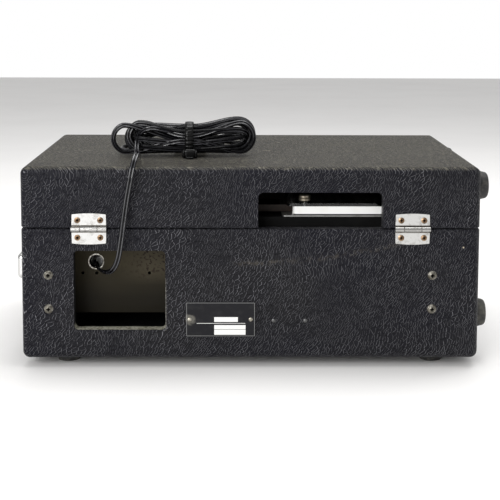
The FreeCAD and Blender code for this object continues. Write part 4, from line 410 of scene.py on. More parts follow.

# %% [markdown]
# ## The cord: its body
# A flat twin lead is two round wires side by side with a groove between them. The section is carried along
# the line and turns with it as little as it can, so the lead doesn't spin on itself. Halfway up the riser
# its flat side lies against the case, and a slow twist inside the hank shows that side here and there. A UV
# map tells the finish where the two crests are, which carry a painted highlight and more gloss.

# %% Flat twin lead
SECTION_POINTS = 24
WEB_SHARE = 0.3
TWIST_ANGLE = 75.0
TWIST_LENGTH = 47.0
CREST_WIDTH = 0.45
RISER_MIDDLE_HEIGHT = 145.0
RISER_LENGTH = 270.0
HANK_HALF_LENGTH = 62.0


def twin_section():
    """Outline of two round wires side by side: u = 2.5 cos t, v = the wires' height there, or the web's."""
    t = turn_steps(SECTION_POINTS)
    u = CORD_WIDTH / 2 * np.cos(t)
    wire = CORD_THICKNESS / 2
    height = np.sqrt(np.clip(wire ** 2 - (np.abs(u) - wire) ** 2, 0, None))
    return u, np.sign(np.sin(t)) * np.maximum(height, WEB_SHARE * wire * (np.abs(u) < wire))


def carried_frames(path):
    """Unit vectors across and off the path, carried along with the least turn."""
    tangent = unit(np.gradient(path, axis=0))
    frames = np.empty_like(path)
    across = np.array([1.0, 0.0, 0.0])
    for index, along in enumerate(tangent):
        across = unit(across - along * (across @ along))
        frames[index] = across
    return frames, np.cross(tangent, frames)


def hank_twist(path):
    """A slow twist: 75 degrees times a slow sine of the length run, times one minus the squared share of
    the way from the tie to the hank's end. It sets in after the riser and fades out before the plug."""
    run = length_along(path)
    off = (path[:, 0] - HANK_MIDDLE[0] - SHIFT[0]) / HANK_HALF_LENGTH
    fade = np.clip(1 - off ** 2, 0, 1) * np.clip((run - RISER_LENGTH) / 40, 0, 1)
    fade *= np.clip((run[-1] - run) / 60 - 0.5, 0, 1)
    return math.radians(TWIST_ANGLE) * fade * (0.55 + 0.45 * np.sin(run / TWIST_LENGTH))


def flat_lead(path):
    """Rings of the twin section along the path, turned by the twist and so that the flat side lies against
    the case halfway up the riser."""
    across, off = carried_frames(path)
    riser = int(np.argmax(path[:, 2] > RISER_MIDDLE_HEIGHT))
    twist = hank_twist(path)[:, None] + math.atan2(off[riser, 0], across[riser, 0])
    across, off = np.cos(twist) * across + np.sin(twist) * off, np.cos(twist) * off - np.sin(twist) * across
    u, v = twin_section()
    return path[:, None] + u[None, :, None] * across[:, None] + v[None, :, None] * off[:, None]


def glossy_cord():
    """Glossy black vinyl jacket. The crests of its two wires carry a painted pale highlight and more gloss,
    faint scuffs roughen it, and a slow wave stands for its uneven moulding."""
    place = new_material("glossy_black_cord")
    crest = apart(add_node(place.material, "TexCoord", "UV"))[0]
    scuff = span(noise(place, 160.0), 0.48, 0.7)
    jacket = mix(scuff, (0.002, 0.002, 0.0025), (0.008, 0.008, 0.009))
    # Painted highlight: a pale colour along the two crests, where the light would shine on them.
    return finished(mix(span(crest, 0.35, 1.0), jacket, (0.045, 0.045, 0.052)),
                    Roughness=between(scuff, 0.12, 0.22), Specular_IOR_Level=span(crest, 0.1, 0.9, 0.12, 0.9),
                    Normal=bumps(noise(place, 130.0, 1.0), 0.2, 0.0004))


cord_shape = (flat_lead(cord_path), tube_faces(len(cord_path), SECTION_POINTS))
cord = new_piece("mains_cord", [cord_shape], glossy_cord())
crest_shares = np.exp(-((np.abs(twin_section()[0]) - CORD_THICKNESS / 2) / CREST_WIDTH) ** 2)
set_grid_uv(cord, SECTION_POINTS, crest_shares, np.arange(len(cord_path)) / len(cord_path))
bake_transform(cord)
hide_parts("cord_riser", "cord_hank")
print("cord faces", len(cord.data.polygons))

# %% [markdown]
# ## Covering
# The case is covered in embossed black leatherette. Its grain is a net of thin raised creases, two to four
# millimetres apart, that run at a slant. A flat cell pattern gives it: a crease stands where two cells meet.
# It is drawn on the covering as if it were peeled off the case, so it runs on over the edges, and slow
# noises push it about. One side of each crease, found from the same net set half a millimetre aside, has a
# painted highlight and shines more, which is what makes the grain show. One material serves both boxes,
# and boxes in space say where the board is bare.

# %% Leatherette
# Cells to the metre; how far the net leans and is drawn out; how far aside its flanks are read, in metres;
# how far a crease fades out, as a share of a cell; scale and reach of the two noises that push it about.
GRAIN_SCALE = 400.0
GRAIN_SLANT = 0.45
GRAIN_STRETCH = 0.55
GRAIN_FLANK = 0.0005
GRAIN_WIDTH = 0.13
GRAIN_SWAYS = ((14.0, 0.022), (90.0, 0.0028))
# Faces of the case and corners (x, z) of its cord recess, in millimetres.
HALF_CASE = 206.5
HALF_INSIDE = 194.8
REAR_FACE = 132.25
REAR_INSIDE = 120.4
FRONT_INSIDE = -125.4
FLOOR_INSIDE = 19.5
LID_INSIDE = 174.3
RECESS_LOW = (76.0, 34.0)
RECESS_HIGH = (160.2, 108.4)
# Height up to which the recess edge carries a painted highlight, in millimetres.
RECESS_HIGHLIGHT_TO = 82.0


def crease_net(across, up):
    """A net of creases: 1 where two cells of a flat cell pattern meet, 0 at a width away from their edge."""
    place = add_node(across.material, "CombineXYZ", 0, X=across, Y=up)
    edge = add_node(across.material, "TexVoronoi", "Distance",
                    {"feature": "DISTANCE_TO_EDGE", "voronoi_dimensions": "2D"},
                    Vector=place, Scale=GRAIN_SCALE)
    return span(edge, GRAIN_WIDTH, 0.1 * GRAIN_WIDTH)


def peeled(place, x):
    """The place on the covering as if it were peeled off the case: x + y across and z + y up, so that the
    pattern runs on over the edges. On the two sides y is left out of the second."""
    moved_x, moved_y, moved_z = apart(place)
    off_the_sides = span(abs(x), (HALF_CASE - 0.8) * MM, (HALF_CASE - 0.2) * MM, 1.0, 0.0)
    return moved_x + moved_y, moved_y * off_the_sides + moved_z


def inside_box(parts, low, high, soft=0.3):
    """1 inside a box given in millimetres, 0 outside, with a soft edge between; None leaves a side open."""
    inside = None
    for part, a, b in zip(parts, low, high):
        for edge, inward in ((a, soft / 2), (b, -soft / 2)):
            if edge is not None:
                step = span(part, (edge - inward) * MM, (edge + inward) * MM)
                inside = inside * step if inside else step
    return inside


def scuffs(place, parts):
    """A long faint scuff that climbs across the rear, along z = 96 + 0.0008 (x - 15)^2, and two short ones
    on the lid's top, all broken up by a noise, and one white speck."""
    off = parts[0] - 0.015
    near = span(abs(parts[2] - (off * off * 0.8 + 0.096)), 0.0035, 0.0)
    marks = near * inside_box(parts, (-140, REAR_FACE - 1, 85), (14, None, 120), 8.0) * 0.2
    for low, high in (((-22, 6, 182), (-11, 10, 190)), ((-99, 16, 182), (-90, 19, 190))):
        marks = marks | inside_box(parts, low, high, 2.0)
    speck = inside_box(parts, (-192.0, REAR_FACE - 1, 110.0), (-190.6, None, 111.4))
    return marks * span(noise(place, 300.0), 0.45, 0.7) | speck


def leatherette():
    """Black leatherette: a painted pale highlight and more gloss on one side of each crease of a slanted net,
    in strokes and patches. Dust and a painted sheen pale the lid's top. The recess has a bare sill and a
    painted highlight along one edge, and the boxes are plain black inside."""
    place = new_material("black_leatherette")
    x, _, z = parts = apart(place)
    moved = place
    for scale, sway in GRAIN_SWAYS:
        push = add_node(place.material, "TexNoise", "Color", Vector=place, Scale=scale, Detail=1.0)
        moved = add_node(place.material, "VectorMath", 0, {"operation": "MULTIPLY_ADD"},
                         _0=push, _1=(sway, sway, sway), _2=moved)
    across, up = peeled(moved, x)
    slanted = up * GRAIN_SLANT + across
    net, net_aside = (crease_net(slanted + aside, up * GRAIN_STRETCH) for aside in (0.0, GRAIN_FLANK))
    strokes = span(noise(place, 260.0, 1.0), 0.34, 0.5, 0.35, 1.0)
    # Painted highlight: one side of each crease, found from the net set aside, is paler, as if lit.
    flank = span(net - net_aside, 0.1, 0.8) * strokes
    flank_highlight = flank * span(noise(place, 25.0), 0.3, 0.65, 0.65, 1.0)
    ground = mix(span(noise(place, 7.0), 0.4, 0.65), (0.0085, 0.0085, 0.0122), (0.0120, 0.0118, 0.0135))
    colour = mix(span(flank_highlight, 0.1, 0.9), ground, (0.135, 0.135, 0.148))
    fine = noise(place, 900.0, 2.0)
    top = span(z, (LID_TOP - 3.0) * MM, (LID_TOP - 0.2) * MM)
    # Dust and painted sheen: the lid's top is paled towards a warm grey, partly standing for the light it
    # reflects.
    dust_and_sheen = span(net * 0.6 + fine, 0.42, 0.95) * span(noise(place, 60.0), 0.3, 0.6, 0.75, 1.0)
    colour = mix(top * dust_and_sheen, colour, (0.21, 0.198, 0.16))
    colour = mix(scuffs(place, parts), colour, (0.40, 0.35, 0.27))
    splinter = span(noise(place, 420.0), 0.35, 0.65)
    # Painted highlight: a pale broken line on the rear face along the recess's edge, where light catches the
    # cut covering.
    edge = inside_box(parts, (RECESS_LOW[0] + 0.1, REAR_FACE - 1.0, RECESS_LOW[1]),
                      (RECESS_LOW[0] + 1.4, None, RECESS_HIGHLIGHT_TO), 0.5)
    colour = mix(edge * between(splinter, 0.3, 1.0), colour, (0.15, 0.145, 0.13))
    room = inside_box(parts, (-HALF_INSIDE, FRONT_INSIDE, FLOOR_INSIDE),
                      (HALF_INSIDE, REAR_INSIDE, LID_INSIDE))
    recess = inside_box(parts, (RECESS_LOW[0], REAR_INSIDE, RECESS_LOW[1]),
                        (RECESS_HIGH[0], REAR_FACE - 0.9, RECESS_HIGH[1]))
    bare = room | recess
    colour = mix(bare, colour, (0.008, 0.008, 0.0085))
    sill = recess * span(z, (RECESS_LOW[1] + 6.0) * MM, (RECESS_LOW[1] + 2.5) * MM)
    colour = mix(sill, colour, mix(splinter, (0.13, 0.125, 0.09), (0.42, 0.41, 0.34)))
    height = (fine * 0.3 + net) * between(bare, 1.0, 0.0)
    return finished(colour, Roughness=between(bare, 0.36, 0.8), Normal=bumps(height, 1.0, 0.0009),
                    Specular_IOR_Level=between(flank, 0.08, 0.5) * between(top, 1.0, 0.15))


VINYL = leatherette()
print("covering with", len(VINYL.node_tree.nodes), "nodes")

# %% [markdown]
# ## Metal, plastic and rubber finishes
# Each finish varies a little over its surface: plated metal has faint clouding, aged brass has darker spots,
# and moulded plastic has a fine grain. A small change of roughness is what tells the eye a surface is real.

# %% Plain finishes
FINE_GRAIN = 1500.0


def worn(name, base, mark, roughness, scale, marks_from_to=(0.5, 0.75), spread=0.1, grain=0.0, **constants):
    """A finish with soft marks: where a noise goes between two levels, base blends towards mark and the
    surface roughens by the spread. The grain is the strength of fine bumps."""
    place = new_material(name, Base_Color=base, Roughness=roughness, **constants)
    marks = span(noise(place, scale, 4.0, 0.6), *marks_from_to)
    more = {"Normal": bumps(noise(place, FINE_GRAIN, 2.0), grain, 0.0001)} if grain else {}
    return finished(mix(marks, base, mark), Roughness=between(marks, roughness, roughness + spread), **more)


CHROME = worn("hinge_chrome", (0.62, 0.62, 0.61), (0.4, 0.39, 0.36), 0.16, 160.0, (0.55, 0.8), 0.2,
              Metallic=1.0)
NICKEL = worn("aged_nickel", (0.17, 0.155, 0.13), (0.06, 0.05, 0.035), 0.4, 420.0, (0.4, 0.62), 0.25,
              Metallic=1.0)
BRASS = worn("brown_brass", (0.26, 0.16, 0.09), (0.06, 0.03, 0.018), 0.36, 500.0, (0.4, 0.6), 0.3,
             Metallic=1.0)
ALUMINIUM = worn("satin_aluminium", (0.78, 0.78, 0.77), (0.6, 0.6, 0.58), 0.3, 90.0, (0.5, 0.8), 0.12,
                 Metallic=1.0)
STEEL = worn("ground_steel", (0.55, 0.55, 0.54), (0.36, 0.34, 0.31), 0.3, 200.0, spread=0.2, Metallic=1.0)
DULL_STEEL = worn("dull_sheet_steel", (0.30, 0.30, 0.29), (0.18, 0.17, 0.155), 0.45, 200.0, spread=0.15,
                  Metallic=1.0)
PANEL_METAL = worn("satin_black_panel", (0.012, 0.012, 0.013), (0.02, 0.02, 0.02), 0.4, 60.0, (0.45, 0.7),
                   0.12, 0.2)
DECK_PAINT = worn("matt_black_deck", (0.003, 0.003, 0.003), (0.007, 0.007, 0.0065), 0.6, 60.0, (0.45, 0.75),
                  0.15, 0.15, Specular_IOR_Level=0.08)
RUBBER = worn("black_rubber", (0.014, 0.014, 0.014), (0.075, 0.07, 0.06), 0.62, 220.0, (0.5, 0.72), 0.15,
              0.25)
DUSTY_RUBBER = worn("dusty_rubber", (0.022, 0.022, 0.021), (0.11, 0.105, 0.09), 0.7, 170.0, (0.35, 0.7),
                    0.15, 0.25)
BLACK_PLASTIC = worn("black_plastic", (0.012, 0.012, 0.013), (0.02, 0.02, 0.02), 0.36, 200.0, (0.5, 0.8),
                     0.15, 0.08)
WHITE_PLASTIC = worn("white_plastic", (0.88, 0.87, 0.83), (0.8, 0.78, 0.72), 0.42, 80.0, (0.5, 0.8))
TAPE = worn("brown_tape", (0.020, 0.011, 0.007), (0.013, 0.008, 0.005), 0.4, 300.0, (0.4, 0.6),
            Specular_IOR_Level=0.2)
LENS = worn("red_lens", (0.5, 0.02, 0.012), (0.35, 0.012, 0.01), 0.12, 300.0, (0.5, 0.8), Coat_Weight=0.6)
CLEAR = worn("clear_acrylic", (0.93, 0.95, 0.94), (0.88, 0.9, 0.88), 0.05, 60.0, (0.5, 0.8),
             Transmission_Weight=1.0, IOR=1.45)

# %% [markdown]
# ## Finishes with marks in fixed places
# Some pieces carry marks in fixed places: near-black slots in a screw, painted shade beside a knuckle, rust
# in a corner. The marks are worked out from the place in the model. Pieces that come in mirrored pairs share
# one formula: a coordinate is folded about the middle between them, which lays one pair upon the other.

# %% Marked finishes
# Middles at which a coordinate is folded, across and up, in millimetres. The last of each is the one reached.
CUP_SCREW_FOLDS = ((9.2, 172.8), (69.75, 15.45))
HINGE_SCREW_FOLDS = ((0.0, 145.0, 10.25), (127.6, 7.9))
KNUCKLE_FOLDS = ((0.0, 145.0, 7.75), (127.6,))
GROMMET_FOLDS = ((142.8,), (90.3,))
BOARD_SHEET_TOP = 0.0098


def folded(parts, folds):
    """How far a place is from the nearest of several mirrored axes, across and up. Each fold takes one
    coordinate, less a middle, without its sign."""
    gaps = [parts[0], parts[2]]
    for k in (0, 1):
        for middle in folds[k]:
            gaps[k] = abs(gaps[k] - middle * MM)
    return gaps


def crossed_screw_finish(name, folds, slot_half, slot_reach, rim, tints):
    """Worn metal with near-black crossed slots in several screws, and another tint inside the rim's
    radius. The slots have half a width and a reach, in millimetres."""
    place = new_material(name, Metallic=1.0)
    across, up = folded(apart(place), folds)
    far = reach(across, up)
    arm = span(across.maths("MINIMUM", up), (slot_half + 0.4) * MM, slot_half * MM)
    slot = arm * span(far, (slot_reach + 0.4) * MM, slot_reach * MM)
    outer = mix(span(noise(place, 420.0, 4.0), 0.4, 0.62), tints[0], tints[1])
    head = mix(span(far, (rim + 0.2) * MM, (rim - 0.2) * MM), outer, tints[2])
    return finished(mix(slot, head, (0.004, 0.0035, 0.003)), Roughness=between(slot, 0.42, 0.9))


def grommet_finish():
    """A bright rolled rim round a bore painted black as shade: black where the reach from the axis is under
    6.3 mm.
    """
    place = new_material("rolled_grommet_rim", Metallic=1.0)
    # Painted shade: the inside of the hole round the cord is coloured black.
    bore_shade = span(reach(*folded(apart(place), GROMMET_FOLDS)), 0.00645, 0.0062)
    rim = mix(span(noise(place, 500.0), 0.4, 0.65), (0.36, 0.35, 0.32), (0.10, 0.09, 0.075))
    return finished(mix(bore_shade, rim, (0.002, 0.002, 0.002)), Roughness=between(bore_shade, 0.3, 0.9))


def hinge_finish():
    """Bright plated hinges. Painted shade lies along both sides of the knuckles, 2.9 mm above and below their
    axis, and between the middle knuckle and the outer ones, and the knuckles are painted a little darker."""
    place = new_material("hinge_chrome_painted_shade", Metallic=1.0)
    across, up = folded(apart(place), KNUCKLE_FOLDS)
    # Painted shade: dark lines along the knuckles' creases and the splits between them, and the knuckles a
    # little darker.
    crease = span(abs(up - 0.0029), 0.0008, 0.0003)
    split = span(across, 0.0006, 0.0002) * span(up, 0.0034, 0.0029)
    crease_shade = (crease | split) * 0.9
    marks = span(noise(place, 160.0, 4.0, 0.6), 0.5, 0.75)
    plated = mix(marks, (0.58, 0.58, 0.57), (0.36, 0.35, 0.33))
    shaded = crease_shade | (span(up, 0.0032, 0.0026) * 0.35)
    return finished(mix(shaded, plated, (0.07, 0.06, 0.045)), Roughness=between(marks | crease_shade, 0.16, 0.4))


def thumb_screw_finish():
    """Brownish plated caps on dark stems: the cap starts 148.3 mm up."""
    place = new_material("brown_plated_cap", Metallic=1.0)
    cloud = span(noise(place, 260.0), 0.4, 0.65)
    cap = mix(cloud, (0.40, 0.36, 0.29), (0.20, 0.175, 0.135))
    stem = span(apart(place)[2], 0.1486, 0.1480)
    return finished(mix(stem, cap, (0.03, 0.027, 0.022)), Roughness=between(cloud, 0.42, 0.55))


def chassis_finish():
    """Dull olive-grey passivated sheet, darker downwards: a painted shade deeper in the recess. Towards one
    upper corner it is paler and has rust specks."""
    place = new_material("olive_sheet_steel", Specular_IOR_Level=0.12)
    x, _, z = apart(place)
    cloud = span(noise(place, 30.0), 0.3, 0.7)
    # Painted shade: a cloudy tone that darkens towards the bottom of the recess.
    shade = between(cloud, 0.75, 1.0) * span(z, 0.056, 0.1, 0.1, 1.0)
    colour = mix(shade, (0.005, 0.0038, 0.0015), (0.035, 0.0285, 0.0145))
    corner = span(x, 0.125, 0.095) * span(z, 0.068, 0.084)
    colour = mix(corner * 0.7, colour, (0.062, 0.052, 0.033))
    rust = span(noise(place, 340.0, 3.0, 0.7), 0.54, 0.6) * corner
    return finished(mix(rust, colour, (0.010, 0.004, 0.002)), Roughness=between(cloud, 0.42, 0.58))


def board_finish():
    """A green circuit board; the parts that stand on it take their colour from their place in a cell grid."""
    place = new_material("circuit_board", Roughness=0.4)
    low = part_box("main_board")[0][2] + BOARD_SHEET_TOP
    cells = add_node(place.material, "TexVoronoi", "Color", Vector=place, Scale=29.0)
    body = add_node(place.material, "ValToRGB", "Color", Fac=cells)
    stops = ((0.0, (0.02, 0.02, 0.025)), (0.45, (0.03, 0.05, 0.16)), (0.7, (0.3, 0.25, 0.1)),
             (1.0, (0.35, 0.34, 0.32)))
    elements = body.socket.node.color_ramp.elements
    while len(elements) < len(stops):
        elements.new(0.5)
    for element, (share, colour) in zip(elements, stops):
        element.position = share
        element.color = (*colour, 1)
    green = mix(span(noise(place, 260.0, 1.0), 0.5, 0.52), (0.02, 0.055, 0.02), (0.03, 0.09, 0.035))
    return finished(mix(span(apart(place)[2], low, low + 0.0001), green, body))


def plate_finish():
    """The rating plate: satin black with a fine light rim, two empty white fields, one of them halved by a
    line, a thin rule between the fields, and paint worn away round one rivet. Shares of the plate's width
    and height, from its upper corner on the +X side, say where they are."""
    place = new_material("rating_plate_print", Specular_IOR_Level=0.12)
    parts = apart(place)
    (x0, _, z0), (x1, _, z1) = box_of("data_plate")

    def area(left, top, right, bottom):
        return inside_box(parts, (x1 - right * (x1 - x0), None, z1 - bottom * (z1 - z0)),
                          (x1 - left * (x1 - x0), None, z1 - top * (z1 - z0)), 0.1)

    rim = (area(0.008, 0.016, 0.992, 0.984) - area(0.015, 0.030, 0.985, 0.970)) * 0.22
    halved = area(0.409, 0.662, 0.86, 0.944) - area(0.409, 0.782, 0.86, 0.794)
    light = rim | area(0.409, 0.432, 0.749, 0.571) | halved | area(0.157, 0.606, 0.857, 0.618)
    rivet = reach(parts[0] - (x1 - 4.0) * MM, parts[2] - (z0 + z1) / 2 * MM)
    wear = span(noise(place, 300.0) * 0.006 + rivet, 0.0085, 0.0065, 0.0, 0.8)
    black = mix(span(noise(place, 150.0, 4.0), 0.5, 0.75), (0.010, 0.010, 0.012), (0.018, 0.018, 0.019))
    colour = mix(light, mix(wear, black, (0.12, 0.115, 0.10)), (0.72, 0.72, 0.70))
    return finished(colour, Roughness=between(wear, 0.32, 0.6))


def tank_finish():
    """White moulded tank. The lowest 1.1 mm of its rear wall is painted dark: a painted shadow line where it
    meets the plate below.
    """
    place = new_material("white_tank_plastic", Roughness=0.4)
    low = box_of("tape_tank")[0][2]
    white = mix(span(noise(place, 60.0), 0.5, 0.8), (0.93, 0.93, 0.91), (0.86, 0.85, 0.80))
    # Painted shadow: a dark line along the bottom 1.1 mm of the rear wall, where it meets the plate.
    foot_shadow = inside_box(apart(place), (None, 103.5, None), (None, None, low + 1.1), 0.2)
    return finished(mix(foot_shadow, white, (0.008, 0.008, 0.008)))


def rivet_finish():
    """Bright small rivets on the rating plate and dull dark ones in the wall beside it."""
    place = new_material("small_rivets", Metallic=1.0)
    spots = span(noise(place, 700.0), 0.4, 0.65)
    bright = mix(spots, (0.42, 0.40, 0.35), (0.16, 0.14, 0.1))
    beside = span(apart(place)[0], -0.006, -0.008)
    return finished(mix(beside, bright, (0.10, 0.10, 0.10)), Roughness=between(spots, 0.35, 0.55))


def knob_finish(node, sweep):
    """A fluted black knob with a satin metal disc let into its top and a white line in its pointer groove.

    With the groove's direction d, the line is where the distance along d is more than 2.9 mm and the
    distance across it is under 0.65 mm, on the top face only.
    """
    place = new_material(node + "_black")
    (x0, face, z0), (x1, _, z1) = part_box(node)
    x, y, z = apart(place)
    x, z = x - (x0 + x1) / 2, z - (z0 + z1) / 2
    along_x, along_z = -math.sin(math.radians(sweep / 2)), math.cos(math.radians(sweep / 2))
    top = span(y, face + 0.0016, face + 0.0014)
    radius = (x1 - x0) * 0.24
    disc = span(reach(x, z), radius + 0.0001, radius) * top
    line = span(abs(x * along_z - z * along_x), 0.00072, 0.00062)
    line = line * span(x * along_x + z * along_z, 0.0028, 0.003) * top
    fine = noise(place, 900.0, 2.0)
    black = mix(fine, (0.010, 0.010, 0.011), (0.02, 0.02, 0.021))
    return finished(mix(line, mix(disc, black, (0.42, 0.42, 0.41)), (0.85, 0.85, 0.82)),
                    Roughness=span(fine, 0.3, 0.7, 0.28, 0.42), Metallic=disc - disc * line)


CHASSIS_METAL = chassis_finish()
BOARD = board_finish()
HINGE_PLATE = hinge_finish()
CUP_SCREWS = crossed_screw_finish("dull_nickel_cups", CUP_SCREW_FOLDS, 0.5, 1.6, 2.8,
                                  [(0.50, 0.48, 0.43), (0.14, 0.125, 0.10), (0.17, 0.16, 0.135)])
HINGE_SCREWS = crossed_screw_finish("brown_brass_screws", HINGE_SCREW_FOLDS, 0.3, 1.1, 2.1,
                                    [(0.42, 0.30, 0.19), (0.13, 0.075, 0.04), (0.20, 0.13, 0.08)])

# %% [markdown]
# ## Which piece has which finish
# The record names a material slot for every piece. One table turns the slots into the finishes above, and a
# second one names the pieces with a finish of their own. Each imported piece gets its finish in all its
# material slots. The mesh itself is left as it is.

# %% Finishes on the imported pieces
FINISH_OF_SLOT = {
    "vinyl": VINYL, "chassis_metal": CHASSIS_METAL, "panel_metal": PANEL_METAL, "chrome": CHROME,
    "nickel": NICKEL, "brass": BRASS, "plate_black": PANEL_METAL, "aluminium": ALUMINIUM, "steel": STEEL,
    "rubber": RUBBER, "white_plastic": WHITE_PLASTIC, "clear_plastic": CLEAR, "black_plastic": BLACK_PLASTIC,
    "tape": TAPE, "board": BOARD, "cord_jacket": RUBBER, "lamp": LENS,
}
SMALL_KNOBS = ["knob_" + name for name in ("input", "bass", "treble", "reverb", "repeat_rate", "intensity",
                                           "echo")]
OWN_FINISH = {
    "data_plate": plate_finish(), "rear_rivets": rivet_finish(), "cord_grommet": grommet_finish(),
    "tape_tank": tank_finish(), "tank_plate": DULL_STEEL, "deck_plate": DECK_PAINT,
    "cover_screws": thumb_screw_finish(), "chassis_screws": CUP_SCREWS, "base_side_feet": DUSTY_RUBBER,
    "hinge_base_screws": HINGE_SCREWS, "hinge_lid_screws": HINGE_SCREWS,
    "hinge_base_leaves": HINGE_PLATE, "hinge_lid_leaves": HINGE_PLATE,
    "mode_knob": knob_finish("mode_knob", 330.0), **{name: knob_finish(name, 300.0) for name in SMALL_KNOBS},
}
for entry in frame["record"]["subparts"]:
    node = NODES[entry["node"]]
    if not node.material_slots:
        node.data.materials.append(None)
    for material_slot in node.material_slots:
        material_slot.material = OWN_FINISH.get(entry["node"], FINISH_OF_SLOT[entry["material_slot"]])

# %% [markdown]
# ## The hank's tie and its buckle
# A ribbed plastic tie holds the hank. It is a flat band carried round a closed rounded curve, with a low
# rib every few millimetres and a groove between. Its end passes a small buckle that rests on the lid.

# %% Tie and buckle
TIE_MIDDLE = np.array([58.0, 50.2, 199.4])
TIE_HALF = (14.3, 16.2)
TIE_WIDTH = 9.5
TIE_THICKNESS = 1.4
TIE_RIBS = 25
TIE_RIB_HEIGHT = 0.35
TIE_RINGS, TIE_SECTION = 300, 20
# Middle and half size of each lump of the buckle: its body, its two cheeks and the band's free end.
BUCKLE_LUMPS = (((57.0, 67.5, 187.6), (6.0, 4.6, 4.3)), ((51.2, 68.0, 187.0), (1.2, 5.2, 3.7)),
                ((62.8, 68.0, 187.0), (1.2, 5.2, 3.7)), ((57.0, 73.0, 184.4), (3.8, 5.0, 0.8)))
LUMP_RINGS, LUMP_COLUMNS = 24, 40


def super_ring(angle, half_wide, half_high, power):
    """A closed rounded curve: |u / half_wide|^power + |v / half_high|^power = 1."""
    c, s = np.cos(angle), np.sin(angle)
    out = (np.abs(c / half_wide) ** power + np.abs(s / half_high) ** power) ** (-1.0 / power)
    return c * out, s * out


def tie_band():
    """Rings of a thin rounded section carried round the curve; ribs stand 0.35 mm up on its outer face."""
    angle = turn_steps(TIE_RINGS)
    place = np.stack(super_ring(angle, *TIE_HALF, 2.6), axis=-1)
    along = unit(np.roll(place, -1, axis=0) - np.roll(place, 1, axis=0))
    out = np.stack([along[:, 1], -along[:, 0]], axis=-1)
    rib = np.clip(1.6 * np.sin(TIE_RIBS * angle), -0.2, 1.0) * TIE_RIB_HEIGHT
    wide, deep = super_ring(turn_steps(TIE_SECTION, 0.5), TIE_WIDTH / 2, TIE_THICKNESS / 2, 5.0)
    ribbed = np.where(deep > 0, np.clip(1.0 - (np.abs(wide) / (TIE_WIDTH * 0.36)) ** 8, 0, 1), 0)
    depth = deep[None, :] - TIE_THICKNESS / 2 + rib[:, None] * ribbed[None, :]
    points = np.empty((TIE_RINGS, TIE_SECTION, 3))
    points[..., 0] = TIE_MIDDLE[0] + wide
    points[..., 1:] = TIE_MIDDLE[1:] + place[:, None] + depth[..., None] * out[:, None]
    return points, grid_faces(TIE_RINGS, TIE_SECTION, wrap_rows=True, wrap_columns=True)


def rounded_lump(middle, half):
    """A closed block with soft edges: slices of a rounded curve, whose size follows the same curve in
    height, and a point at either end."""
    lift = np.linspace(-np.pi / 2, np.pi / 2, LUMP_RINGS + 2)[1:-1]
    shrink, height = super_ring(lift, 1.0, half[2], 5.0)
    x, y = super_ring(turn_steps(LUMP_COLUMNS), half[0], half[1], 5.0)
    slices = np.stack([shrink[:, None] * x, shrink[:, None] * y,
                       np.repeat(height[:, None], LUMP_COLUMNS, axis=1)], axis=-1).reshape(-1, 3)
    ends = [(0, 0, -half[2]), (0, 0, half[2])]
    faces = grid_faces(LUMP_RINGS, LUMP_COLUMNS, wrap_columns=True)
    low = LUMP_RINGS * LUMP_COLUMNS
    for k in range(LUMP_COLUMNS):
        following = (k + 1) % LUMP_COLUMNS
        faces.append([low, following, k])
        faces.append([low + 1, low - LUMP_COLUMNS + k, low - LUMP_COLUMNS + following])
    return np.vstack([slices, ends]) + middle, faces


TIE_PLASTIC = worn("glossy_tie_plastic", (0.002, 0.002, 0.002), (0.006, 0.006, 0.006), 0.2, 260.0, (0.5, 0.7),
                   0.15, Specular_IOR_Level=0.2)
tie = new_piece("strap_tie", [tie_band()] + [rounded_lump(*lump) for lump in BUCKLE_LUMPS], TIE_PLASTIC)
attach(tie, "lid")
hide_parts("cord_tie")
print("tie faces", len(tie.data.polygons))

# %% [markdown]
# ## The carrying strap
# The strap on the side is soft rubber that bows outwards a little. Its section has a raised border and a
# sunk middle with fine ribs across it, so the hand can grip it.

# %% Carrying strap
STRAP_LOW, STRAP_HIGH = box_of("handle_strap")
STRAP_THICKNESS = 4.5
STRAP_BOW = 5.0
STRAP_SUNK = 0.7
STRAP_RIB_HEIGHT = 0.45
STRAP_RIB_PITCH = 3.0
STRAP_RINGS, STRAP_SECTION = 321, 48


def strap_rings():
    """Slices along the strap: it bows out by 5 mm times cosine squared of a quarter turn each way; the
    outer face sinks 0.7 mm inside a border 2 mm wide, with ribs 0.45 mm high."""
    run = np.linspace(-1.0, 1.0, STRAP_RINGS)
    half_wide = (STRAP_HIGH[2] - STRAP_LOW[2]) / 2
    up, out = super_ring(turn_steps(STRAP_SECTION, 0.5), half_wide - 0.05, STRAP_THICKNESS / 2, 4.5)
    sunk = np.where(out > 0, np.clip(half_wide - 2.0 - np.abs(up), 0, 1), 0)
    y = STRAP_LOW[1] + (run + 1) / 2 * (STRAP_HIGH[1] - STRAP_LOW[1])
    bow = STRAP_BOW * np.cos(run * np.pi / 2) ** 2
    ribs = STRAP_RIB_HEIGHT * np.clip(np.sin(2 * np.pi * y / STRAP_RIB_PITCH) * 1.5, -1, 1)
    ends = np.clip((1 - np.abs(run)) / 0.16 - 1.0, 0, 1)
    relief = sunk * (ends * (ribs - STRAP_SUNK))[:, None]
    points = np.empty((STRAP_RINGS, STRAP_SECTION, 3))
    points[..., 0] = STRAP_LOW[0] + STRAP_THICKNESS / 2 + bow[:, None] + out + relief
    points[..., 1] = y[:, None]
    points[..., 2] = (STRAP_HIGH[2] + STRAP_LOW[2]) / 2 + up
    return points


strap = new_piece("carrying_strap", [(strap_rings(), tube_faces(STRAP_RINGS, STRAP_SECTION))], RUBBER)
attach(strap, "cabinet")
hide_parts("handle_strap")
print("strap faces", len(strap.data.polygons))

# %% [markdown]
# ## Print on the front panel
# The panel carries plain scales: eleven ticks and two numbers round each small knob, twelve numbers round
# the mode knob, ON and OFF at the power switch, and rings round the sockets. Each mark is a very thin
# solid on the panel. Letters start as text and are made into a mesh.

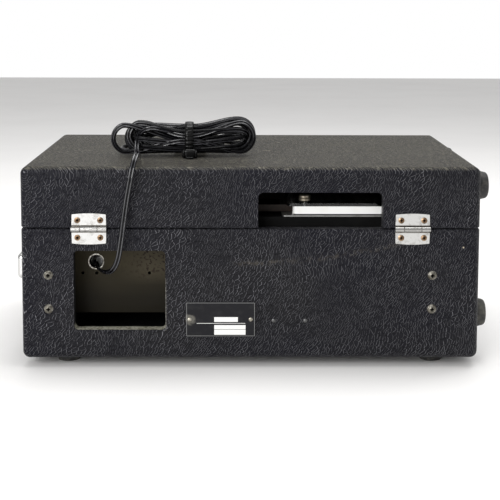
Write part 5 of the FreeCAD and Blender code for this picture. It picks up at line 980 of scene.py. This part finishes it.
# %% Panel print
PANEL_FACE = box_of("front_panel")[0][1]
# A mark reaches from just under the surface to just over it.
PRINT_LAYERS = (PANEL_FACE + 0.02, PANEL_FACE - 0.06)
JACK_XS = (-168.0, -132.0, -94.0, -58.0)
JACK_Z = 54.0
JACK_RING = (10.2, 9.8)
TICK_WIDTH = 0.45
# Half the height of a capital letter, as a share of the text's size.
HALF_CAPITAL = 0.35


def flat_shape(outline, layers=PRINT_LAYERS):
    """A thin solid between two layers, from a closed outline of (x, z) points."""
    outline = np.asarray(outline, float)
    count = len(outline)
    points = [np.column_stack([outline[:, 0], np.full(count, y), outline[:, 1]]) for y in layers]
    return np.vstack(points), tube_faces(2, count)


def clockwise(angle):
    """The direction at an angle in degrees, clockwise from straight up."""
    return np.array([math.sin(math.radians(angle)), math.cos(math.radians(angle))])


def bar(middle, angle, near, far, width):
    """Outline of a short bar that points away from a middle."""
    out = clockwise(angle)
    side = np.array([out[1], -out[0]]) * width / 2
    return [middle + out * near - side, middle + out * far - side,
            middle + out * far + side, middle + out * near + side]


def ring_print(middle, outer, inner, steps=48):
    """A thin ring: an outer and an inner circle, each at two layers, joined into a closed band."""
    angle = turn_steps(steps)
    loops = [np.column_stack([middle[0] + radius * np.cos(angle), np.full(steps, y),
                              middle[1] + radius * np.sin(angle)])
             for radius, y in zip((outer, outer, inner, inner), PRINT_LAYERS + PRINT_LAYERS[::-1])]
    return np.vstack(loops), grid_faces(4, steps, wrap_rows=True, wrap_columns=True)


def words(text, middle, size):
    """Letters as a thin mesh, centred on a place of the panel."""
    curve = bpy.data.curves.new("letters", "FONT")
    curve.body = text
    curve.size = 1.0
    curve.align_x = "CENTER"
    curve.resolution_u = 4
    curve.extrude = 0.01
    letters, faces = made_mesh(curve)
    deep = np.where(letters[:, 2] > 0, PRINT_LAYERS[1], PRINT_LAYERS[0])
    return np.column_stack([middle[0] + letters[:, 0] * size, deep,
                            middle[1] + (letters[:, 1] - HALF_CAPITAL) * size]), faces


def middle_of(node):
    """The (x, z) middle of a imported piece."""
    return np.mean(box_of(node), axis=0)[[0, 2]]


def panel_marks():
    """Every printed mark of the panel, as a list of thin solids."""
    marks = []
    for name in SMALL_KNOBS:
        middle = middle_of(name)
        for step in range(11):
            far = 17.2 if step % 5 == 0 else 16.2
            marks.append(flat_shape(bar(middle, -150 + 30 * step, 14.2, far, TICK_WIDTH)))
        for text, angle in (("0", -150), ("10", 150)):
            marks.append(words(text, middle + 19.6 * clockwise(angle), 3.2))
    middle = middle_of("mode_knob")
    for step in range(12):
        angle = -165 + 30 * step
        marks.append(flat_shape(bar(middle, angle, 23.6, 26.0, TICK_WIDTH)))
        marks.append(words(str(step + 1), middle + 29.2 * clockwise(angle), 4.0))
    for text, rise in (("ON", 13.5), ("OFF", -13.5)):
        marks.append(words(text, middle_of("power_toggle") + [0, rise], 3.4))
    for x in JACK_XS:
        marks.append(ring_print((x, JACK_Z), *JACK_RING))
    for x in (-4.0, 0.0, 4.0):
        marks.append(flat_shape(bar(middle_of("level_slider") + [x, 0], 0, 6.0, 8.4, 0.5)))
    return marks


PRINT_WHITE = worn("print_white", (0.78, 0.78, 0.74), (0.68, 0.67, 0.62), 0.5, 90.0)
panel_print = new_piece("panel_print", panel_marks(), PRINT_WHITE, smooth=False)
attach(panel_print, "cabinet")
print("panel print faces", len(panel_print.data.polygons))

# %% [markdown]
# ## The level meter's face
# Behind the glass, a cream card with a fine scale lies just above the case's floor. The needle sweeps a
# quarter turn over it. The last part of the arc is red.

# %% Meter face
METER_LOW, METER_HIGH = box_of("meter_glass")
METER_FLOOR_Y = PANEL_FACE + 10.0
NEEDLE_PIVOT = np.array([-76.0, 81.0])
CARD_LOW_Z = 85.4
CARD_GAP = 0.2
# The card reaches down into the floor, and the scale down into the card.
CARD_LAYERS = (METER_FLOOR_Y + 0.02, METER_FLOOR_Y - 0.22)
SCALE_LAYERS = (METER_FLOOR_Y - 0.18, METER_FLOOR_Y - 0.28)


def arc_band(start, stop, near, far):
    """A band of the scale between two angles and two radii about the needle's pivot."""
    out = np.array([clockwise(angle) for angle in np.linspace(start, stop, 25)])
    return flat_shape(np.vstack([NEEDLE_PIVOT + out * near, (NEEDLE_PIVOT + out * far)[::-1]]), SCALE_LAYERS)


card_left, card_right, card_top = METER_LOW[0] + CARD_GAP, METER_HIGH[0] - CARD_GAP, METER_HIGH[2] - CARD_GAP
card_shape = flat_shape([(card_left, CARD_LOW_Z), (card_right, CARD_LOW_Z), (card_right, card_top),
                         (card_left, card_top)], CARD_LAYERS)
scale_ticks = [flat_shape(bar(NEEDLE_PIVOT, -45 + 9 * step, 24.6, 28.0 if step % 5 == 0 else 26.8, 0.36),
                          SCALE_LAYERS) for step in range(11)]
CARD_CREAM = worn("meter_card_cream", (0.80, 0.76, 0.62), (0.72, 0.66, 0.5), 0.6, 70.0)
PRINT_RED = worn("print_red", (0.5, 0.03, 0.02), (0.4, 0.03, 0.02), 0.5, 90.0)
for name, shapes, material in (("meter_card", [card_shape], CARD_CREAM),
                               ("meter_scale", scale_ticks + [arc_band(-45, 18, 24.2, 24.7)], PANEL_METAL),
                               ("meter_red_arc", [arc_band(18, 45, 23.8, 24.9)], PRINT_RED)):
    piece = new_piece(name, shapes, material, smooth=False)
    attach(piece, "cabinet")
print("meter scale with", len(scale_ticks), "ticks")

# %% [markdown]
# ## Floor and light
# The unit stands on a plain pale floor. One broad soft light beside and above the camera lights the rear,
# and a wide one overhead gives the lid its sheen. The world all round lights evenly with a soft grey, and
# is white where the camera sees it.

# %% Floor, light and view
FLOOR_POINTS = [(-3000, -4000, 0), (3000, -4000, 0), (3000, 2500, 0), (-3000, 2500, 0)]
LIGHT_TARGET = np.array([0.0, 0.05, 0.1])
SOFTBOXES = (("rear_softbox", (0.9, 1.7, 0.75), 1.15, 30), ("top_softbox", (-0.2, -0.3, 1.6), 1.4, 26))
WORLD_STRENGTH = 0.6


def area_light(name, place, size, watts):
    """A square soft light at a place in metres, pointed at the unit."""
    light = bpy.data.lights.new(name, "AREA")
    light.energy = watts
    light.size = size
    away = unit(np.array(place) - LIGHT_TARGET)
    side = unit(np.cross([0.0, 0.0, 1.0], away))
    stand(name, light, side, np.cross(away, side), away, place)


def pale_world():
    """A grey world that lights evenly, white where the camera looks straight at it or through glass."""
    world = bpy.data.worlds.new("pale_world")
    world.use_nodes = True
    seen = add_node(world, "LightPath", "Is Camera Ray") | add_node(world, "LightPath", "Is Transmission Ray")
    background = world.node_tree.nodes["Background"]
    feed(world, background, "Color", (1, 1, 1))
    feed(world, background, "Strength", between(seen, WORLD_STRENGTH, 1.0))
    bpy.context.scene.world = world


PALE_FLOOR = worn("pale_floor", (0.88, 0.87, 0.86), (0.85, 0.84, 0.83), 0.55, 4.0, (0.4, 0.7), 0.05)
floor = new_piece("floor", [(FLOOR_POINTS, [[0, 1, 2, 3]])], PALE_FLOOR, smooth=False)
pale_world()
for softbox in SOFTBOXES:
    area_light(*softbox)
view = bpy.context.scene.view_settings
view.view_transform = "Standard"
view.look = "None"
